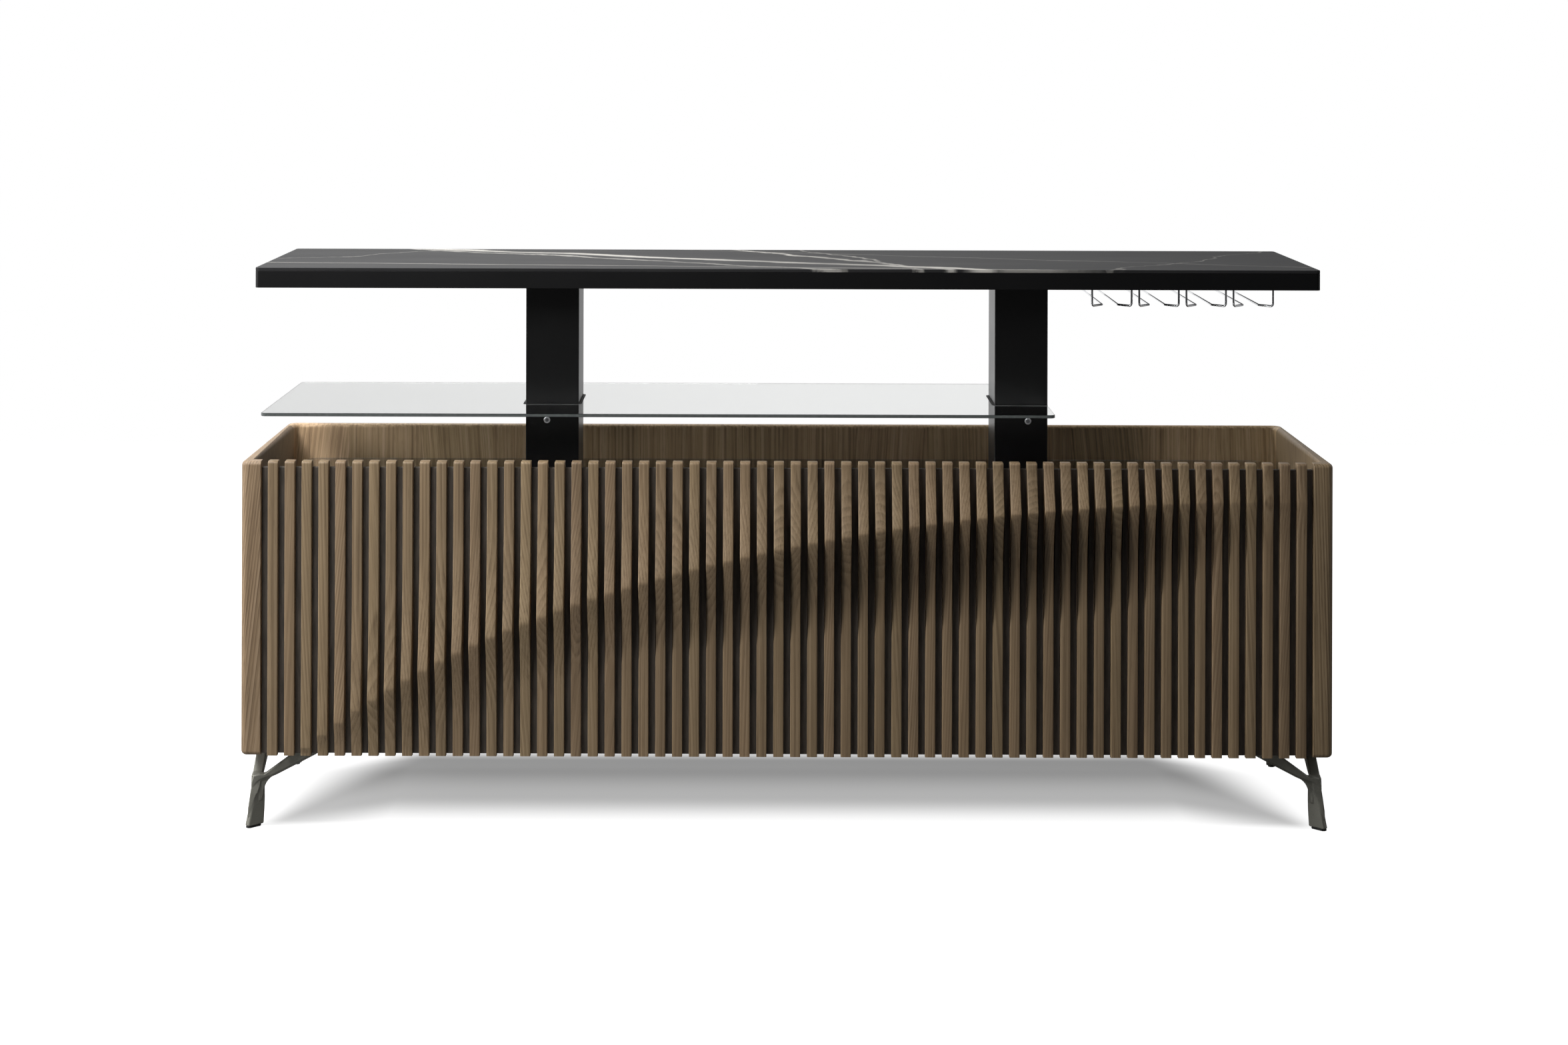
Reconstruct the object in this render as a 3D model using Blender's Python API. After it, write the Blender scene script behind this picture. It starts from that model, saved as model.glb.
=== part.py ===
# Bar sideboard: a slatted oak case on cast legs, with a bar rack that rises out of it on two
# lifting columns. Metres, +Z up, +Y towards the back. The origin is on the floor, under the
# middle of the whole object.

import math

import bmesh
import bpy
from mathutils import Vector

# Case
CASE_WIDTH = 2.000
CASE_DEPTH = 0.500
CASE_HEIGHT = 0.539
LEG_HEIGHT = 0.139
BOARD = 0.018
RIM_OUTER_RADIUS = 0.008
RIM_INNER_RADIUS = 0.005
STILE_WIDTH = 0.0365
STILE_DEPTH = 0.022
STILE_RADIUS = 0.012
POST_LEG = 0.045
POST_OUTER_RADIUS = 0.022
POST_INNER_RADIUS = 0.010

# Slatted front, milled as one dune-shaped relief with a sharp crest
SLAT_COUNT = 62
SLAT_WIDTH = 0.0185
SLAT_DEPTH = 0.020
SLAT_TOP_RADIUS = 0.005
FRONT_BOARD = 0.012
FRONT_BOARD_SETBACK = 0.012
FRONT_BOARD_BELOW_RIM = 0.013
RELIEF_HEIGHT = 0.0275
CREST_FROM_LEFT = 0.095
CREST_FULL_FROM_LEFT = 0.370
CREST_FOOT_FROM_LEFT = 0.121
CREST_FADE_FROM_RIGHT = 0.550
CREST_FLAT_FROM_RIGHT = 0.180
CREST_FROM_RIGHT = 0.040
CREST_BELOW_RIM = 0.070
CREST_FALL = 0.350
CREST_HOOK = 0.103
CREST_LOWEST = 0.010
CREST_FADE_SHARE = 0.15
SLOPE_ABOVE = 0.240
SLOPE_BELOW_LEFT = 0.160
SLOPE_BELOW_RIGHT = 0.095
SHARES_BELOW = (1.0, 0.55, 0.25, 0.08)
SHARES_ABOVE = (0.08, 0.25, 0.52, 1.0)
OAK = 0
BLACK = 1

# Cast legs, one Y-shaped fork under each corner
LEG_INSET_X = 0.0188
LEG_INSET_Y = 0.0325
FOOT_LONG = 0.0295
FOOT_THICK = 0.0125
CALF_LONG = 0.024
CALF_HEIGHT = 0.032
SHANK_LONG = 0.0208
SHANK_THICK = 0.012
SHANK_HEIGHT = 0.0514
SHANK_LEAN = 0.0044
NECK_LONG = 0.0175
NECK_HEIGHT = 0.074
NECK_TOP_LONG = 0.0125
WING_THICK = 0.0132
WING_LEAN = 0.0026
WING_REACH = 0.1212
WING_SEAT = 0.0467
WING_ROOT = 0.0585
WING_INNER = 0.0161
WING_FILLET = 0.040
WING_SLOPE = 28.1
WING_STEPS = 6
WING_CUT = 0.003
CROTCH_HEIGHT = 0.097
CROTCH_REACH = 0.0175
WING_CHAMFER = 0.004
ARM_TRIM = 0.0007
GLIDE_THICK = 0.003

# Bar top. The drive needs its own height in the case beside the stroke
DRIVE_HEIGHT = 0.187
TOP_SETBACK = 0.026
TOP_REAR_CLEARANCE = 0.004
TOP_SIDE_CLEARANCE = 0.0015
TOP_CORNER_RADIUS = 0.008
TOP_BOARD_THICK = 0.0315
CERAMIC_THICK = 0.0055
CERAMIC_ARRIS = 0.001

# Lifting columns
COLUMN_FROM_END = 0.557
COLUMN_SETBACK = 0.162
COLUMN_WIDTH = 0.100
COLUMN_DEPTH = 0.135
COLUMN_CORNER = 0.003
COLUMN_WALL = 0.003
CAP_PLATE_THICK = 0.006
COLUMN_FLOOR_CLEARANCE = 0.012
MAST_CLEARANCE = 0.005
MAST_WALL = 0.003
MAST_FOOT_THICK = 0.006
MAST_FOOT_MARGIN = 0.015
MAST_HEAD_CLEARANCE = 0.010
BUSH_HEIGHT = 0.030
BUSH_INSET = 0.003
MOTOR_RADIUS = 0.028
GEARBOX_RADIUS = 0.020
GEARBOX_HEIGHT = 0.022
MOTOR_SHOULDER = 0.003
SPINDLE_RADIUS = 0.008
JOURNAL_RADIUS = 0.0047
JOURNAL_LENGTH = 0.009
SPINDLE_HEAD_CLEARANCE = 0.004
NUT_RADIUS = 0.016
NUT_HEIGHT = 0.018
NUT_FLOOR_CLEARANCE = 0.005
PUSH_TUBE_RADIUS = 0.0145
PUSH_TUBE_WALL = 0.003
TURNING_CLEARANCE = 0.0004

# Glass shelves
GLASS_THICK = 0.006
SHELF_SPACING = 0.1515
UPPER_SHELF_END_INSET = 0.030
UPPER_SHELF_REAR_INSET = 0.001
UPPER_SHELF_RADIUS = 0.010
LOWER_SHELF_ABOVE_COLUMN_END = 0.084
LOWER_SHELF_END_INSET = 0.045
LOWER_SHELF_FRONT_INSET = 0.034
LOWER_SHELF_REAR_CLEARANCE = 0.010
LOWER_SHELF_RADIUS = 0.025
GASKET_WIDTH = 0.0045
GASKET_PROUD = 0.0005
ROD_RADIUS = 0.006
ROD_ARRIS = 0.0012
ROD_FRONT_INSET = 0.006
ROD_REAR_INSET = 0.008

# Stemware hangers
HANGER_COUNT = 4
HANGER_LAST_FROM_END = 0.1131
HANGER_PITCH = 0.0878
HANGER_WIRE = 0.002
HANGER_FRONT_INSET = 0.060
HANGER_REAR_INSET = 0.030
HANGER_LEG_SPREAD = 0.0736
HANGER_RAIL_SPREAD = 0.030
HANGER_DROP = 0.037
HANGER_FLARE_RUN = 0.026
HANGER_BEND = 0.006
HANGER_SOCKET = 0.012

# Electrics
CONTROL_BOX_SIZE = (0.220, 0.080, 0.036)
CONTROL_BOX_FROM_BACK = 0.020
CONTROL_BOX_RADIUS = 0.004
INLET_X = 0.170
INLET_HEIGHT = 0.060
INLET_FLANGE = (0.058, 0.036, 0.0025)
INLET_BODY = (0.047, 0.027, 0.034)
INLET_SOCKET = (0.025, 0.017, 0.016)
INLET_RECESS = 0.003

# Gap that meshes of touching pieces keep
GAP = 0.0003

# Places that follow from the sizes
FRONT = -(CASE_DEPTH + RELIEF_HEIGHT) / 2 + RELIEF_HEIGHT
BACK = FRONT + CASE_DEPTH
HALF = CASE_WIDTH / 2
INNER = HALF - BOARD
RIM = LEG_HEIGHT + CASE_HEIGHT
FLOOR = LEG_HEIGHT + BOARD
TOP_STROKE = CASE_HEIGHT - DRIVE_HEIGHT
TOP = RIM + TOP_STROKE
TOP_UNDERSIDE = TOP - CERAMIC_THICK - TOP_BOARD_THICK
TOP_FRONT = FRONT + TOP_SETBACK
TOP_REAR = BACK - BOARD - TOP_REAR_CLEARANCE
TOP_HALF = INNER - TOP_SIDE_CLEARANCE
CREST_TOP = CASE_HEIGHT - CREST_BELOW_RIM
CREST_LEFT_X = CREST_FROM_LEFT - HALF
CREST_FULL_X = CREST_FULL_FROM_LEFT - HALF
CREST_FADE_X = HALF - CREST_FADE_FROM_RIGHT
CREST_FLAT_X = HALF - CREST_FLAT_FROM_RIGHT
CREST_RIGHT_X = HALF - CREST_FROM_RIGHT
CREST_RUN = CREST_FLAT_X - (CREST_FOOT_FROM_LEFT - HALF)
COLUMN_Y = FRONT + COLUMN_SETBACK + COLUMN_DEPTH / 2
COLUMN_XS = {"left": COLUMN_FROM_END - HALF, "right": HALF - COLUMN_FROM_END}
CAP_BOTTOM = TOP_UNDERSIDE - GAP - CAP_PLATE_THICK
COLUMN_TOP = CAP_BOTTOM - GAP
COLUMN_BOTTOM = FLOOR + TOP_STROKE + COLUMN_FLOOR_CLEARANCE
CAP_BOTTOM_LOW = CAP_BOTTOM - TOP_STROKE
MAST_BOTTOM = FLOOR + GAP + MAST_FOOT_THICK
MAST_TOP = CAP_BOTTOM_LOW - MAST_HEAD_CLEARANCE
SPINDLE_TOP = CAP_BOTTOM_LOW - SPINDLE_HEAD_CLEARANCE
NUT_TOP = SPINDLE_TOP - SPINDLE_HEAD_CLEARANCE
NUT_BOTTOM = NUT_TOP - NUT_HEIGHT
MOTOR_TOP = NUT_BOTTOM - TOP_STROKE - NUT_FLOOR_CLEARANCE
LOWER_GLASS = COLUMN_BOTTOM + LOWER_SHELF_ABOVE_COLUMN_END
UPPER_GLASS = LOWER_GLASS + SHELF_SPACING


def clear_scene():
    for item in list(bpy.data.objects):
        bpy.data.objects.remove(item, do_unlink=True)


def principled(name, colour, roughness, metallic=0.0, transmission=0.0):
    material = bpy.data.materials.new(name)
    material.use_nodes = True
    material.diffuse_color = (*colour, 1.0)
    shader = material.node_tree.nodes["Principled BSDF"]
    shader.inputs["Base Color"].default_value = (*colour, 1.0)
    shader.inputs["Roughness"].default_value = roughness
    shader.inputs["Metallic"].default_value = metallic
    shader.inputs["Transmission Weight"].default_value = transmission
    return material


def make_materials():
    return {
        "oak": principled("smoked_oak_veneer", (0.165, 0.118, 0.072), 0.55),
        "front_black": principled("black_stained_board", (0.011, 0.011, 0.011), 0.70),
        "leg": principled("cast_gunmetal", (0.060, 0.062, 0.055), 0.45, 1.0),
        "glide": principled("black_glide_plastic", (0.015, 0.015, 0.015), 0.60),
        "top_black": principled("black_satin_lacquer", (0.010, 0.010, 0.010), 0.40),
        "ceramic": principled("black_ceramic", (0.012, 0.012, 0.013), 0.30),
        "column": principled("black_powder_coat", (0.010, 0.010, 0.010), 0.35),
        "steel": principled("zinc_plated_steel", (0.45, 0.46, 0.48), 0.35, 1.0),
        "bush": principled("white_acetal", (0.72, 0.72, 0.70), 0.50),
        "glass": principled("clear_glass", (0.85, 0.92, 0.90), 0.03, 0.0, 0.9),
        "gasket": principled("black_rubber", (0.012, 0.012, 0.012), 0.70),
        "chrome": principled("polished_chrome", (0.80, 0.80, 0.82), 0.08, 1.0),
        "housing": principled("black_moulded_plastic", (0.020, 0.020, 0.020), 0.50),
    }


def joint_empty(name, location):
    empty = bpy.data.objects.new(name, None)
    empty.location = location
    bpy.context.scene.collection.objects.link(empty)
    return empty


def add_piece(name, mesh_data, materials, parent, location=(0.0, 0.0, 0.0), smooth=False):
    """Turn a bmesh into a named object placed in the world under its body's empty."""
    bmesh.ops.recalc_face_normals(mesh_data, faces=mesh_data.faces)
    mesh = bpy.data.meshes.new(name)
    mesh_data.to_mesh(mesh)
    mesh_data.free()
    for material in materials:
        mesh.materials.append(material)
    if smooth:
        mesh.shade_smooth()
        mesh.set_sharp_from_angle(angle=math.radians(35))
    piece = bpy.data.objects.new(name, mesh)
    piece.parent = parent
    piece.location = Vector(location) - parent.location
    bpy.context.scene.collection.objects.link(piece)
    return piece


def as_cutter(piece):
    piece.hide_render = True
    piece.display_type = "WIRE"
    return piece


def combine(piece, other, operation):
    modifier = piece.modifiers.new(operation.lower() + "_" + other.name, "BOOLEAN")
    modifier.operation = operation
    modifier.solver = "EXACT"
    modifier.object = as_cutter(other)


def arc(centre, radius, start, end, steps):
    """Points of an arc in a plane, from start to end in degrees."""
    points = []
    for step in range(steps + 1):
        angle = math.radians(start + (end - start) * step / steps)
        points.append((centre[0] + radius * math.cos(angle), centre[1] + radius * math.sin(angle)))
    return points


def rounded_rectangle(x0, x1, y0, y1, radius, steps=3):
    if radius <= 0:
        return [(x0, y0), (x1, y0), (x1, y1), (x0, y1)]
    corners = [
        ((x1 - radius, y0 + radius), 270),
        ((x1 - radius, y1 - radius), 0),
        ((x0 + radius, y1 - radius), 90),
        ((x0 + radius, y0 + radius), 180),
    ]
    outline = []
    for centre, start in corners:
        outline += arc(centre, radius, start, start + 90, steps)
    return outline


def prism(outline, z0, z1):
    """A closed solid with a plan outline, from z0 up to z1."""
    solid = bmesh.new()
    lower = [solid.verts.new((x, y, z0)) for x, y in outline]
    upper = [solid.verts.new((x, y, z1)) for x, y in outline]
    solid.faces.new(lower)
    solid.faces.new(upper)
    count = len(outline)
    for index in range(count):
        after = (index + 1) % count
        solid.faces.new((lower[index], lower[after], upper[after], upper[index]))
    return solid


def tube(outer, inner, z0, z1):
    """A closed wall between two plan outlines that have as many points each."""
    solid = bmesh.new()
    loops = []
    for outline, height in ((outer, z0), (outer, z1), (inner, z1), (inner, z0)):
        loops.append([solid.verts.new((x, y, height)) for x, y in outline])
    count = len(outer)
    for ring in range(4):
        here = loops[ring]
        there = loops[(ring + 1) % 4]
        for index in range(count):
            after = (index + 1) % count
            solid.faces.new((here[index], here[after], there[after], there[index]))
    return solid


def lathe(profile, steps):
    """A solid of revolution about Z. The profile runs from the axis, out, and back to it."""
    solid = bmesh.new()
    rings = []
    for radius, height in profile:
        if radius == 0:
            rings.append([solid.verts.new((0, 0, height))])
            continue
        ring = []
        for step in range(steps):
            angle = 2 * math.pi * step / steps
            ring.append(solid.verts.new((radius * math.cos(angle), radius * math.sin(angle), height)))
        rings.append(ring)
    for here, there in zip(rings, rings[1:]):
        for step in range(steps):
            after = (step + 1) % steps
            corners = [here[step % len(here)], here[after % len(here)]]
            corners += [there[after % len(there)], there[step % len(there)]]
            unique = list(dict.fromkeys(corners))
            solid.faces.new(unique)
    return solid


def ring_lathe(profile, steps):
    """A ring of revolution about Z, from a closed profile that stays off the axis."""
    solid = bmesh.new()
    rings = []
    for radius, height in profile:
        ring = []
        for step in range(steps):
            angle = 2 * math.pi * step / steps
            ring.append(solid.verts.new((radius * math.cos(angle), radius * math.sin(angle), height)))
        rings.append(ring)
    for index, here in enumerate(rings):
        there = rings[(index + 1) % len(rings)]
        for step in range(steps):
            after = (step + 1) % steps
            solid.faces.new((here[step], here[after], there[after], there[step]))
    return solid


def round_edges(solid, chosen, radius, segments):
    """Round the edges that a test picks by its two end points."""
    edges = [edge for edge in solid.edges if chosen(edge.verts[0].co, edge.verts[1].co)]
    bmesh.ops.bevel(
        solid,
        geom=edges,
        offset=radius,
        offset_type="OFFSET",
        segments=segments,
        profile=0.5,
        affect="EDGES",
        clamp_overlap=True,
    )


def near(value, target):
    return abs(value - target) < 1e-5


def mirrored(outline, side):
    return [(side * x, y) for x, y in outline]


def side_panel(name, side, oak, parent):
    """A side board with its front stile. The outside is drawn at the right hand, then mirrored."""
    rear = BACK - POST_LEG - GAP
    outline = arc((HALF - STILE_RADIUS, FRONT + STILE_RADIUS), STILE_RADIUS, 270, 360, 4)
    outline += [
        (HALF, rear),
        (INNER, rear),
        (INNER, FRONT + STILE_DEPTH),
        (HALF - STILE_WIDTH, FRONT + STILE_DEPTH),
        (HALF - STILE_WIDTH, FRONT),
    ]
    solid = prism(mirrored(outline, side), LEG_HEIGHT, RIM)

    def outside(point):
        past_stile = abs(point.x) > HALF - STILE_RADIUS - 1e-5
        return near(abs(point.x), HALF) or near(point.y, FRONT) or (
            past_stile and point.y < FRONT + STILE_RADIUS)

    def outer_rim(a, b):
        level = near(a.z, b.z) and (near(a.z, RIM) or near(a.z, LEG_HEIGHT))
        return level and outside(a) and outside(b)

    def inner_rim(a, b):
        inside = near(abs(a.x), INNER) and near(abs(b.x), INNER)
        return inside and near(a.z, RIM) and near(b.z, RIM)

    round_edges(solid, outer_rim, RIM_OUTER_RADIUS, 3)
    round_edges(solid, inner_rim, RIM_INNER_RADIUS, 2)
    return add_piece(name, solid, [oak], parent, smooth=True)


def rear_post(name, side, oak, parent):
    """A corner post, rounded outside and filleted inside, which the side and back boards meet."""
    outline = [(HALF, BACK - POST_LEG)]
    outline += arc((HALF - POST_OUTER_RADIUS, BACK - POST_OUTER_RADIUS), POST_OUTER_RADIUS, 0, 90, 6)
    outline += [(HALF - POST_LEG, BACK), (HALF - POST_LEG, BACK - BOARD)]
    fillet = (INNER - POST_INNER_RADIUS, BACK - BOARD - POST_INNER_RADIUS)
    outline += arc(fillet, POST_INNER_RADIUS, 90, 0, 4)
    outline += [(INNER, BACK - POST_LEG)]
    solid = prism(mirrored(outline, side), LEG_HEIGHT, RIM)
    corner = (HALF - POST_OUTER_RADIUS, BACK - POST_OUTER_RADIUS)

    def outside(point):
        reach = math.hypot(abs(point.x) - corner[0], point.y - corner[1])
        return near(abs(point.x), HALF) or near(point.y, BACK) or near(reach, POST_OUTER_RADIUS)

    def inside(point):
        reach = math.hypot(abs(point.x) - fillet[0], point.y - fillet[1])
        return near(abs(point.x), INNER) or near(point.y, BACK - BOARD) or near(reach, POST_INNER_RADIUS)

    def end_edge(a, b):
        across = near(a.y, BACK - POST_LEG) and near(b.y, BACK - POST_LEG)
        return across or (near(abs(a.x), HALF - POST_LEG) and near(abs(b.x), HALF - POST_LEG))

    def outer_rim(a, b):
        level = near(a.z, b.z) and (near(a.z, RIM) or near(a.z, LEG_HEIGHT))
        return level and not end_edge(a, b) and outside(a) and outside(b)

    def inner_rim(a, b):
        level = near(a.z, RIM) and near(b.z, RIM)
        return level and not end_edge(a, b) and inside(a) and inside(b)

    round_edges(solid, outer_rim, RIM_OUTER_RADIUS, 3)
    round_edges(solid, inner_rim, RIM_INNER_RADIUS, 2)
    return add_piece(name, solid, [oak], parent, smooth=True)


def back_panel(oak, parent):
    """The back board between the posts, with the recess and hole of the power inlet."""
    half = HALF - POST_LEG - GAP
    outline = [(-half, BACK - BOARD), (half, BACK - BOARD), (half, BACK), (-half, BACK)]
    solid = prism(outline, LEG_HEIGHT, RIM)

    def outer_rim(a, b):
        level = near(a.z, b.z) and (near(a.z, RIM) or near(a.z, LEG_HEIGHT))
        return level and near(a.y, BACK) and near(b.y, BACK)

    def inner_rim(a, b):
        return near(a.z, RIM) and near(b.z, RIM) and near(a.y, BACK - BOARD) and near(b.y, BACK - BOARD)

    round_edges(solid, outer_rim, RIM_OUTER_RADIUS, 3)
    round_edges(solid, inner_rim, RIM_INNER_RADIUS, 2)
    panel = add_piece("back_panel", solid, [oak], parent, smooth=True)

    height = FLOOR + INLET_HEIGHT
    recess = block(INLET_FLANGE[0] + 2 * GAP, 2 * INLET_RECESS, INLET_FLANGE[1] + 2 * GAP)
    recess = add_piece("inlet_recess_cutter", recess, [oak], parent, (INLET_X, BACK, height))
    hole = block(INLET_BODY[0] + 2 * GAP, 4 * BOARD, INLET_BODY[1] + 2 * GAP)
    hole = add_piece("inlet_hole_cutter", hole, [oak], parent, (INLET_X, BACK, height))
    combine(panel, recess, "DIFFERENCE")
    combine(panel, hole, "DIFFERENCE")
    return panel


def block(width, depth, height):
    """A plain box about its own centre."""
    outline = rounded_rectangle(-width / 2, width / 2, -depth / 2, depth / 2, 0.0)
    return prism(outline, -height / 2, height / 2)


def bottom_panel(oak, parent):
    """The bottom board, with rear corners that clear the posts' fillets."""
    front = FRONT + FRONT_BOARD_SETBACK + FRONT_BOARD + GAP
    half = INNER - GAP
    rear = BACK - BOARD - GAP
    outline = [(-half, front), (half, front)]
    outline += arc((half - POST_INNER_RADIUS, rear - POST_INNER_RADIUS), POST_INNER_RADIUS, 0, 90, 3)
    outline += arc((-half + POST_INNER_RADIUS, rear - POST_INNER_RADIUS), POST_INNER_RADIUS, 90, 180, 3)
    return add_piece("bottom_panel", prism(outline, LEG_HEIGHT, FLOOR), [oak], parent)


def crest_height(x):
    """Height of the crest above the case's bottom: a curve that rises fast and flattens out."""
    run = min(max((CREST_FLAT_X - x) / CREST_RUN, 0.0), 1.0)
    return max(CREST_TOP - CREST_FALL * run ** 2 - CREST_HOOK * run ** 7, CREST_LOWEST)


def crest_reach(x):
    """How far the crest stands out of the front plane."""
    if x <= CREST_LEFT_X:
        return 0.0
    if x < CREST_FULL_X:
        left = (CREST_FULL_X - x) / (CREST_FULL_X - CREST_LEFT_X)
        return RELIEF_HEIGHT * (1 - left ** 1.35)
    if x <= CREST_FADE_X:
        return RELIEF_HEIGHT
    right = min((x - CREST_FADE_X) / (CREST_RIGHT_X - CREST_FADE_X), 1.0)
    fade = 0.5 + 0.5 * math.cos(math.pi * right)
    return RELIEF_HEIGHT * (CREST_FADE_SHARE + (1 - CREST_FADE_SHARE) * fade)


def slat_profile(x):
    """The front of a slat's side, bottom to top, as (reach out of the front plane, height)."""
    crest = crest_height(x)
    reach = crest_reach(x)
    across = (x + HALF) / CASE_WIDTH
    below = min(SLOPE_BELOW_LEFT + (SLOPE_BELOW_RIGHT - SLOPE_BELOW_LEFT) * across, crest * 0.96)
    top = CASE_HEIGHT - SLAT_TOP_RADIUS
    above = min(SLOPE_ABOVE, (top - crest) * 0.96)
    hollow_above = 1.3 + 0.9 * min(max((above - 0.065) / (SLOPE_ABOVE - 0.065), 0.0), 1.0)
    hollow_below = 1.5 + 0.5 * across
    points = [(0.0, 0.0)]
    for share in SHARES_BELOW:
        points.append((reach * (1 - share) ** hollow_below, crest - below * share))
    points.append((reach, crest))
    for share in SHARES_ABOVE:
        points.append((reach * (1 - share) ** hollow_above, crest + above * share))
    for y, z in arc((-SLAT_TOP_RADIUS, top), SLAT_TOP_RADIUS, 0, 90, 2):
        points.append((y, z))
    return points


def slat_left_edges():
    opening = CASE_WIDTH - 2 * STILE_WIDTH
    gap = (opening - SLAT_COUNT * SLAT_WIDTH) / (SLAT_COUNT + 1)
    first = -opening / 2 + gap
    return [first + index * (SLAT_WIDTH + gap) for index in range(SLAT_COUNT)]


class Comb:
    """A mesh under construction, in the front's own frame, whose faces share equal corners."""

    def __init__(self):
        self.solid = bmesh.new()
        self.corners = {}

    def corner(self, x, y, z):
        key = (round(x, 6), round(y, 6), round(z, 6))
        if key not in self.corners:
            self.corners[key] = self.solid.verts.new((x, FRONT + y, LEG_HEIGHT + z))
        return self.corners[key]

    def face(self, material, *places):
        made = self.solid.faces.new([self.corner(*place) for place in places])
        made.material_index = material

    def fan(self, material, apex, places):
        for here, there in zip(places, places[1:]):
            self.face(material, apex, here, there)


def add_slat(comb, left, board_top):
    """One slat: a milled face in front of the board, and a tail that stands above its top edge."""
    right = left + SLAT_WIDTH
    glued = FRONT_BOARD_SETBACK
    for x in (left, right):
        face_line = [(x, -reach, height) for reach, height in slat_profile(x)]
        comb.fan(OAK, (x, glued, 0.0), face_line + [(x, glued, board_top)])
        tail = [face_line[-1], (x, SLAT_DEPTH, CASE_HEIGHT), (x, SLAT_DEPTH, board_top)]
        comb.fan(OAK, (x, glued, board_top), tail)
    pairs = [[(x, -reach, height) for reach, height in slat_profile(x)] for x in (left, right)]
    for index in range(len(pairs[0]) - 1):
        comb.face(OAK, pairs[0][index], pairs[1][index], pairs[1][index + 1], pairs[0][index + 1])
    top = [(right, SLAT_DEPTH, CASE_HEIGHT), (left, SLAT_DEPTH, CASE_HEIGHT)]
    comb.face(OAK, pairs[0][-1], pairs[1][-1], *top)
    comb.face(OAK, *top, (left, SLAT_DEPTH, board_top), (right, SLAT_DEPTH, board_top))
    comb.face(OAK, pairs[1][0], pairs[0][0], (left, glued, 0.0), (right, glued, 0.0))


def slatted_front(oak, black, parent):
    """The black front board and the milled slats glued to it, as one comb-shaped solid."""
    comb = Comb()
    half = HALF - STILE_WIDTH - GAP
    face = FRONT_BOARD_SETBACK
    back = FRONT_BOARD_SETBACK + FRONT_BOARD
    top = CASE_HEIGHT - FRONT_BOARD_BELOW_RIM
    edges = [-half]
    for left in slat_left_edges():
        add_slat(comb, left, top)
        edges += [left, left + SLAT_WIDTH]
    edges.append(half)
    for a, b in zip(edges[::2], edges[1::2]):
        comb.face(BLACK, (a, face, 0.0), (b, face, 0.0), (b, face, top), (a, face, top))
        comb.face(BLACK, (a, face, top), (b, face, top), (b, SLAT_DEPTH, top), (a, SLAT_DEPTH, top))
    rim_line = [(x, SLAT_DEPTH, top) for x in edges] + [(half, back, top)]
    comb.fan(BLACK, (-half, back, top), rim_line)
    bottom_line = [(x, face, 0.0) for x in edges] + [(half, back, 0.0)]
    comb.fan(BLACK, (-half, back, 0.0), bottom_line)
    comb.face(BLACK, (-half, back, 0.0), (half, back, 0.0), (half, back, top), (-half, back, top))
    for x in (-half, half):
        end_line = [(x, face, top), (x, SLAT_DEPTH, top), (x, back, top), (x, back, 0.0)]
        comb.fan(BLACK, (x, face, 0.0), end_line)
    return add_piece("slatted_front", comb.solid, [oak, black], parent)


def leg_shank(corner_x, corner_y, side_x, side_y):
    """The blade of a leg: a flat section set at 45 degrees, flared at the foot."""
    stations = [
        (GLIDE_THICK + GAP, FOOT_LONG, FOOT_THICK, 0.0),
        (CALF_HEIGHT, CALF_LONG, (FOOT_THICK + SHANK_THICK) / 2, SHANK_LEAN * 0.66),
        (SHANK_HEIGHT, SHANK_LONG, SHANK_THICK, SHANK_LEAN),
        (NECK_HEIGHT, NECK_LONG, SHANK_THICK, SHANK_LEAN),
        (CROTCH_HEIGHT - 0.003, NECK_TOP_LONG, SHANK_THICK, SHANK_LEAN),
    ]
    solid = bmesh.new()
    rings = []
    for height, length, thick, lean in stations:
        ring = []
        for along, across in blade_outline(length, thick):
            inward_x = LEG_INSET_X + lean + (along - across) * math.sqrt(0.5)
            inward_y = LEG_INSET_Y + lean + (along + across) * math.sqrt(0.5)
            place = (corner_x - side_x * inward_x, corner_y - side_y * inward_y, height)
            ring.append(solid.verts.new(place))
        rings.append(ring)
    solid.faces.new(rings[0])
    solid.faces.new(rings[-1])
    for here, there in zip(rings, rings[1:]):
        for index in range(len(here)):
            after = (index + 1) % len(here)
            solid.faces.new((here[index], here[after], there[after], there[index]))
    return solid


def blade_outline(length, thick):
    """Half a blade's section on each side of its middle, with its corners taken off."""
    cut = thick * 0.28
    x = length / 2
    y = thick / 2
    return [
        (-x, -y + cut), (-x + cut, -y), (x - cut, -y), (x, -y + cut),
        (x, y - cut), (x - cut, y), (-x + cut, y), (-x, y - cut),
    ]


def wing_outline(trim):
    """Side view of one arm of the fork, as (reach inward from the arm's root, height)."""
    top = LEG_HEIGHT - GAP
    outer = WING_THICK / 2
    centre = (WING_INNER + WING_FILLET, WING_ROOT)
    outline = [(trim - outer, WING_ROOT + trim), (WING_INNER * 0.6, WING_ROOT + trim)]
    outline += arc(centre, WING_FILLET, 180, 90 + WING_SLOPE, WING_STEPS)
    outline += [
        (WING_REACH, top),
        (WING_REACH - WING_SEAT, top),
        (CROTCH_REACH, CROTCH_HEIGHT),
        (outer, CROTCH_HEIGHT - 0.0015 - trim),
        (trim - outer + WING_CUT, CROTCH_HEIGHT - 0.003 - trim),
    ]
    return outline


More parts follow.
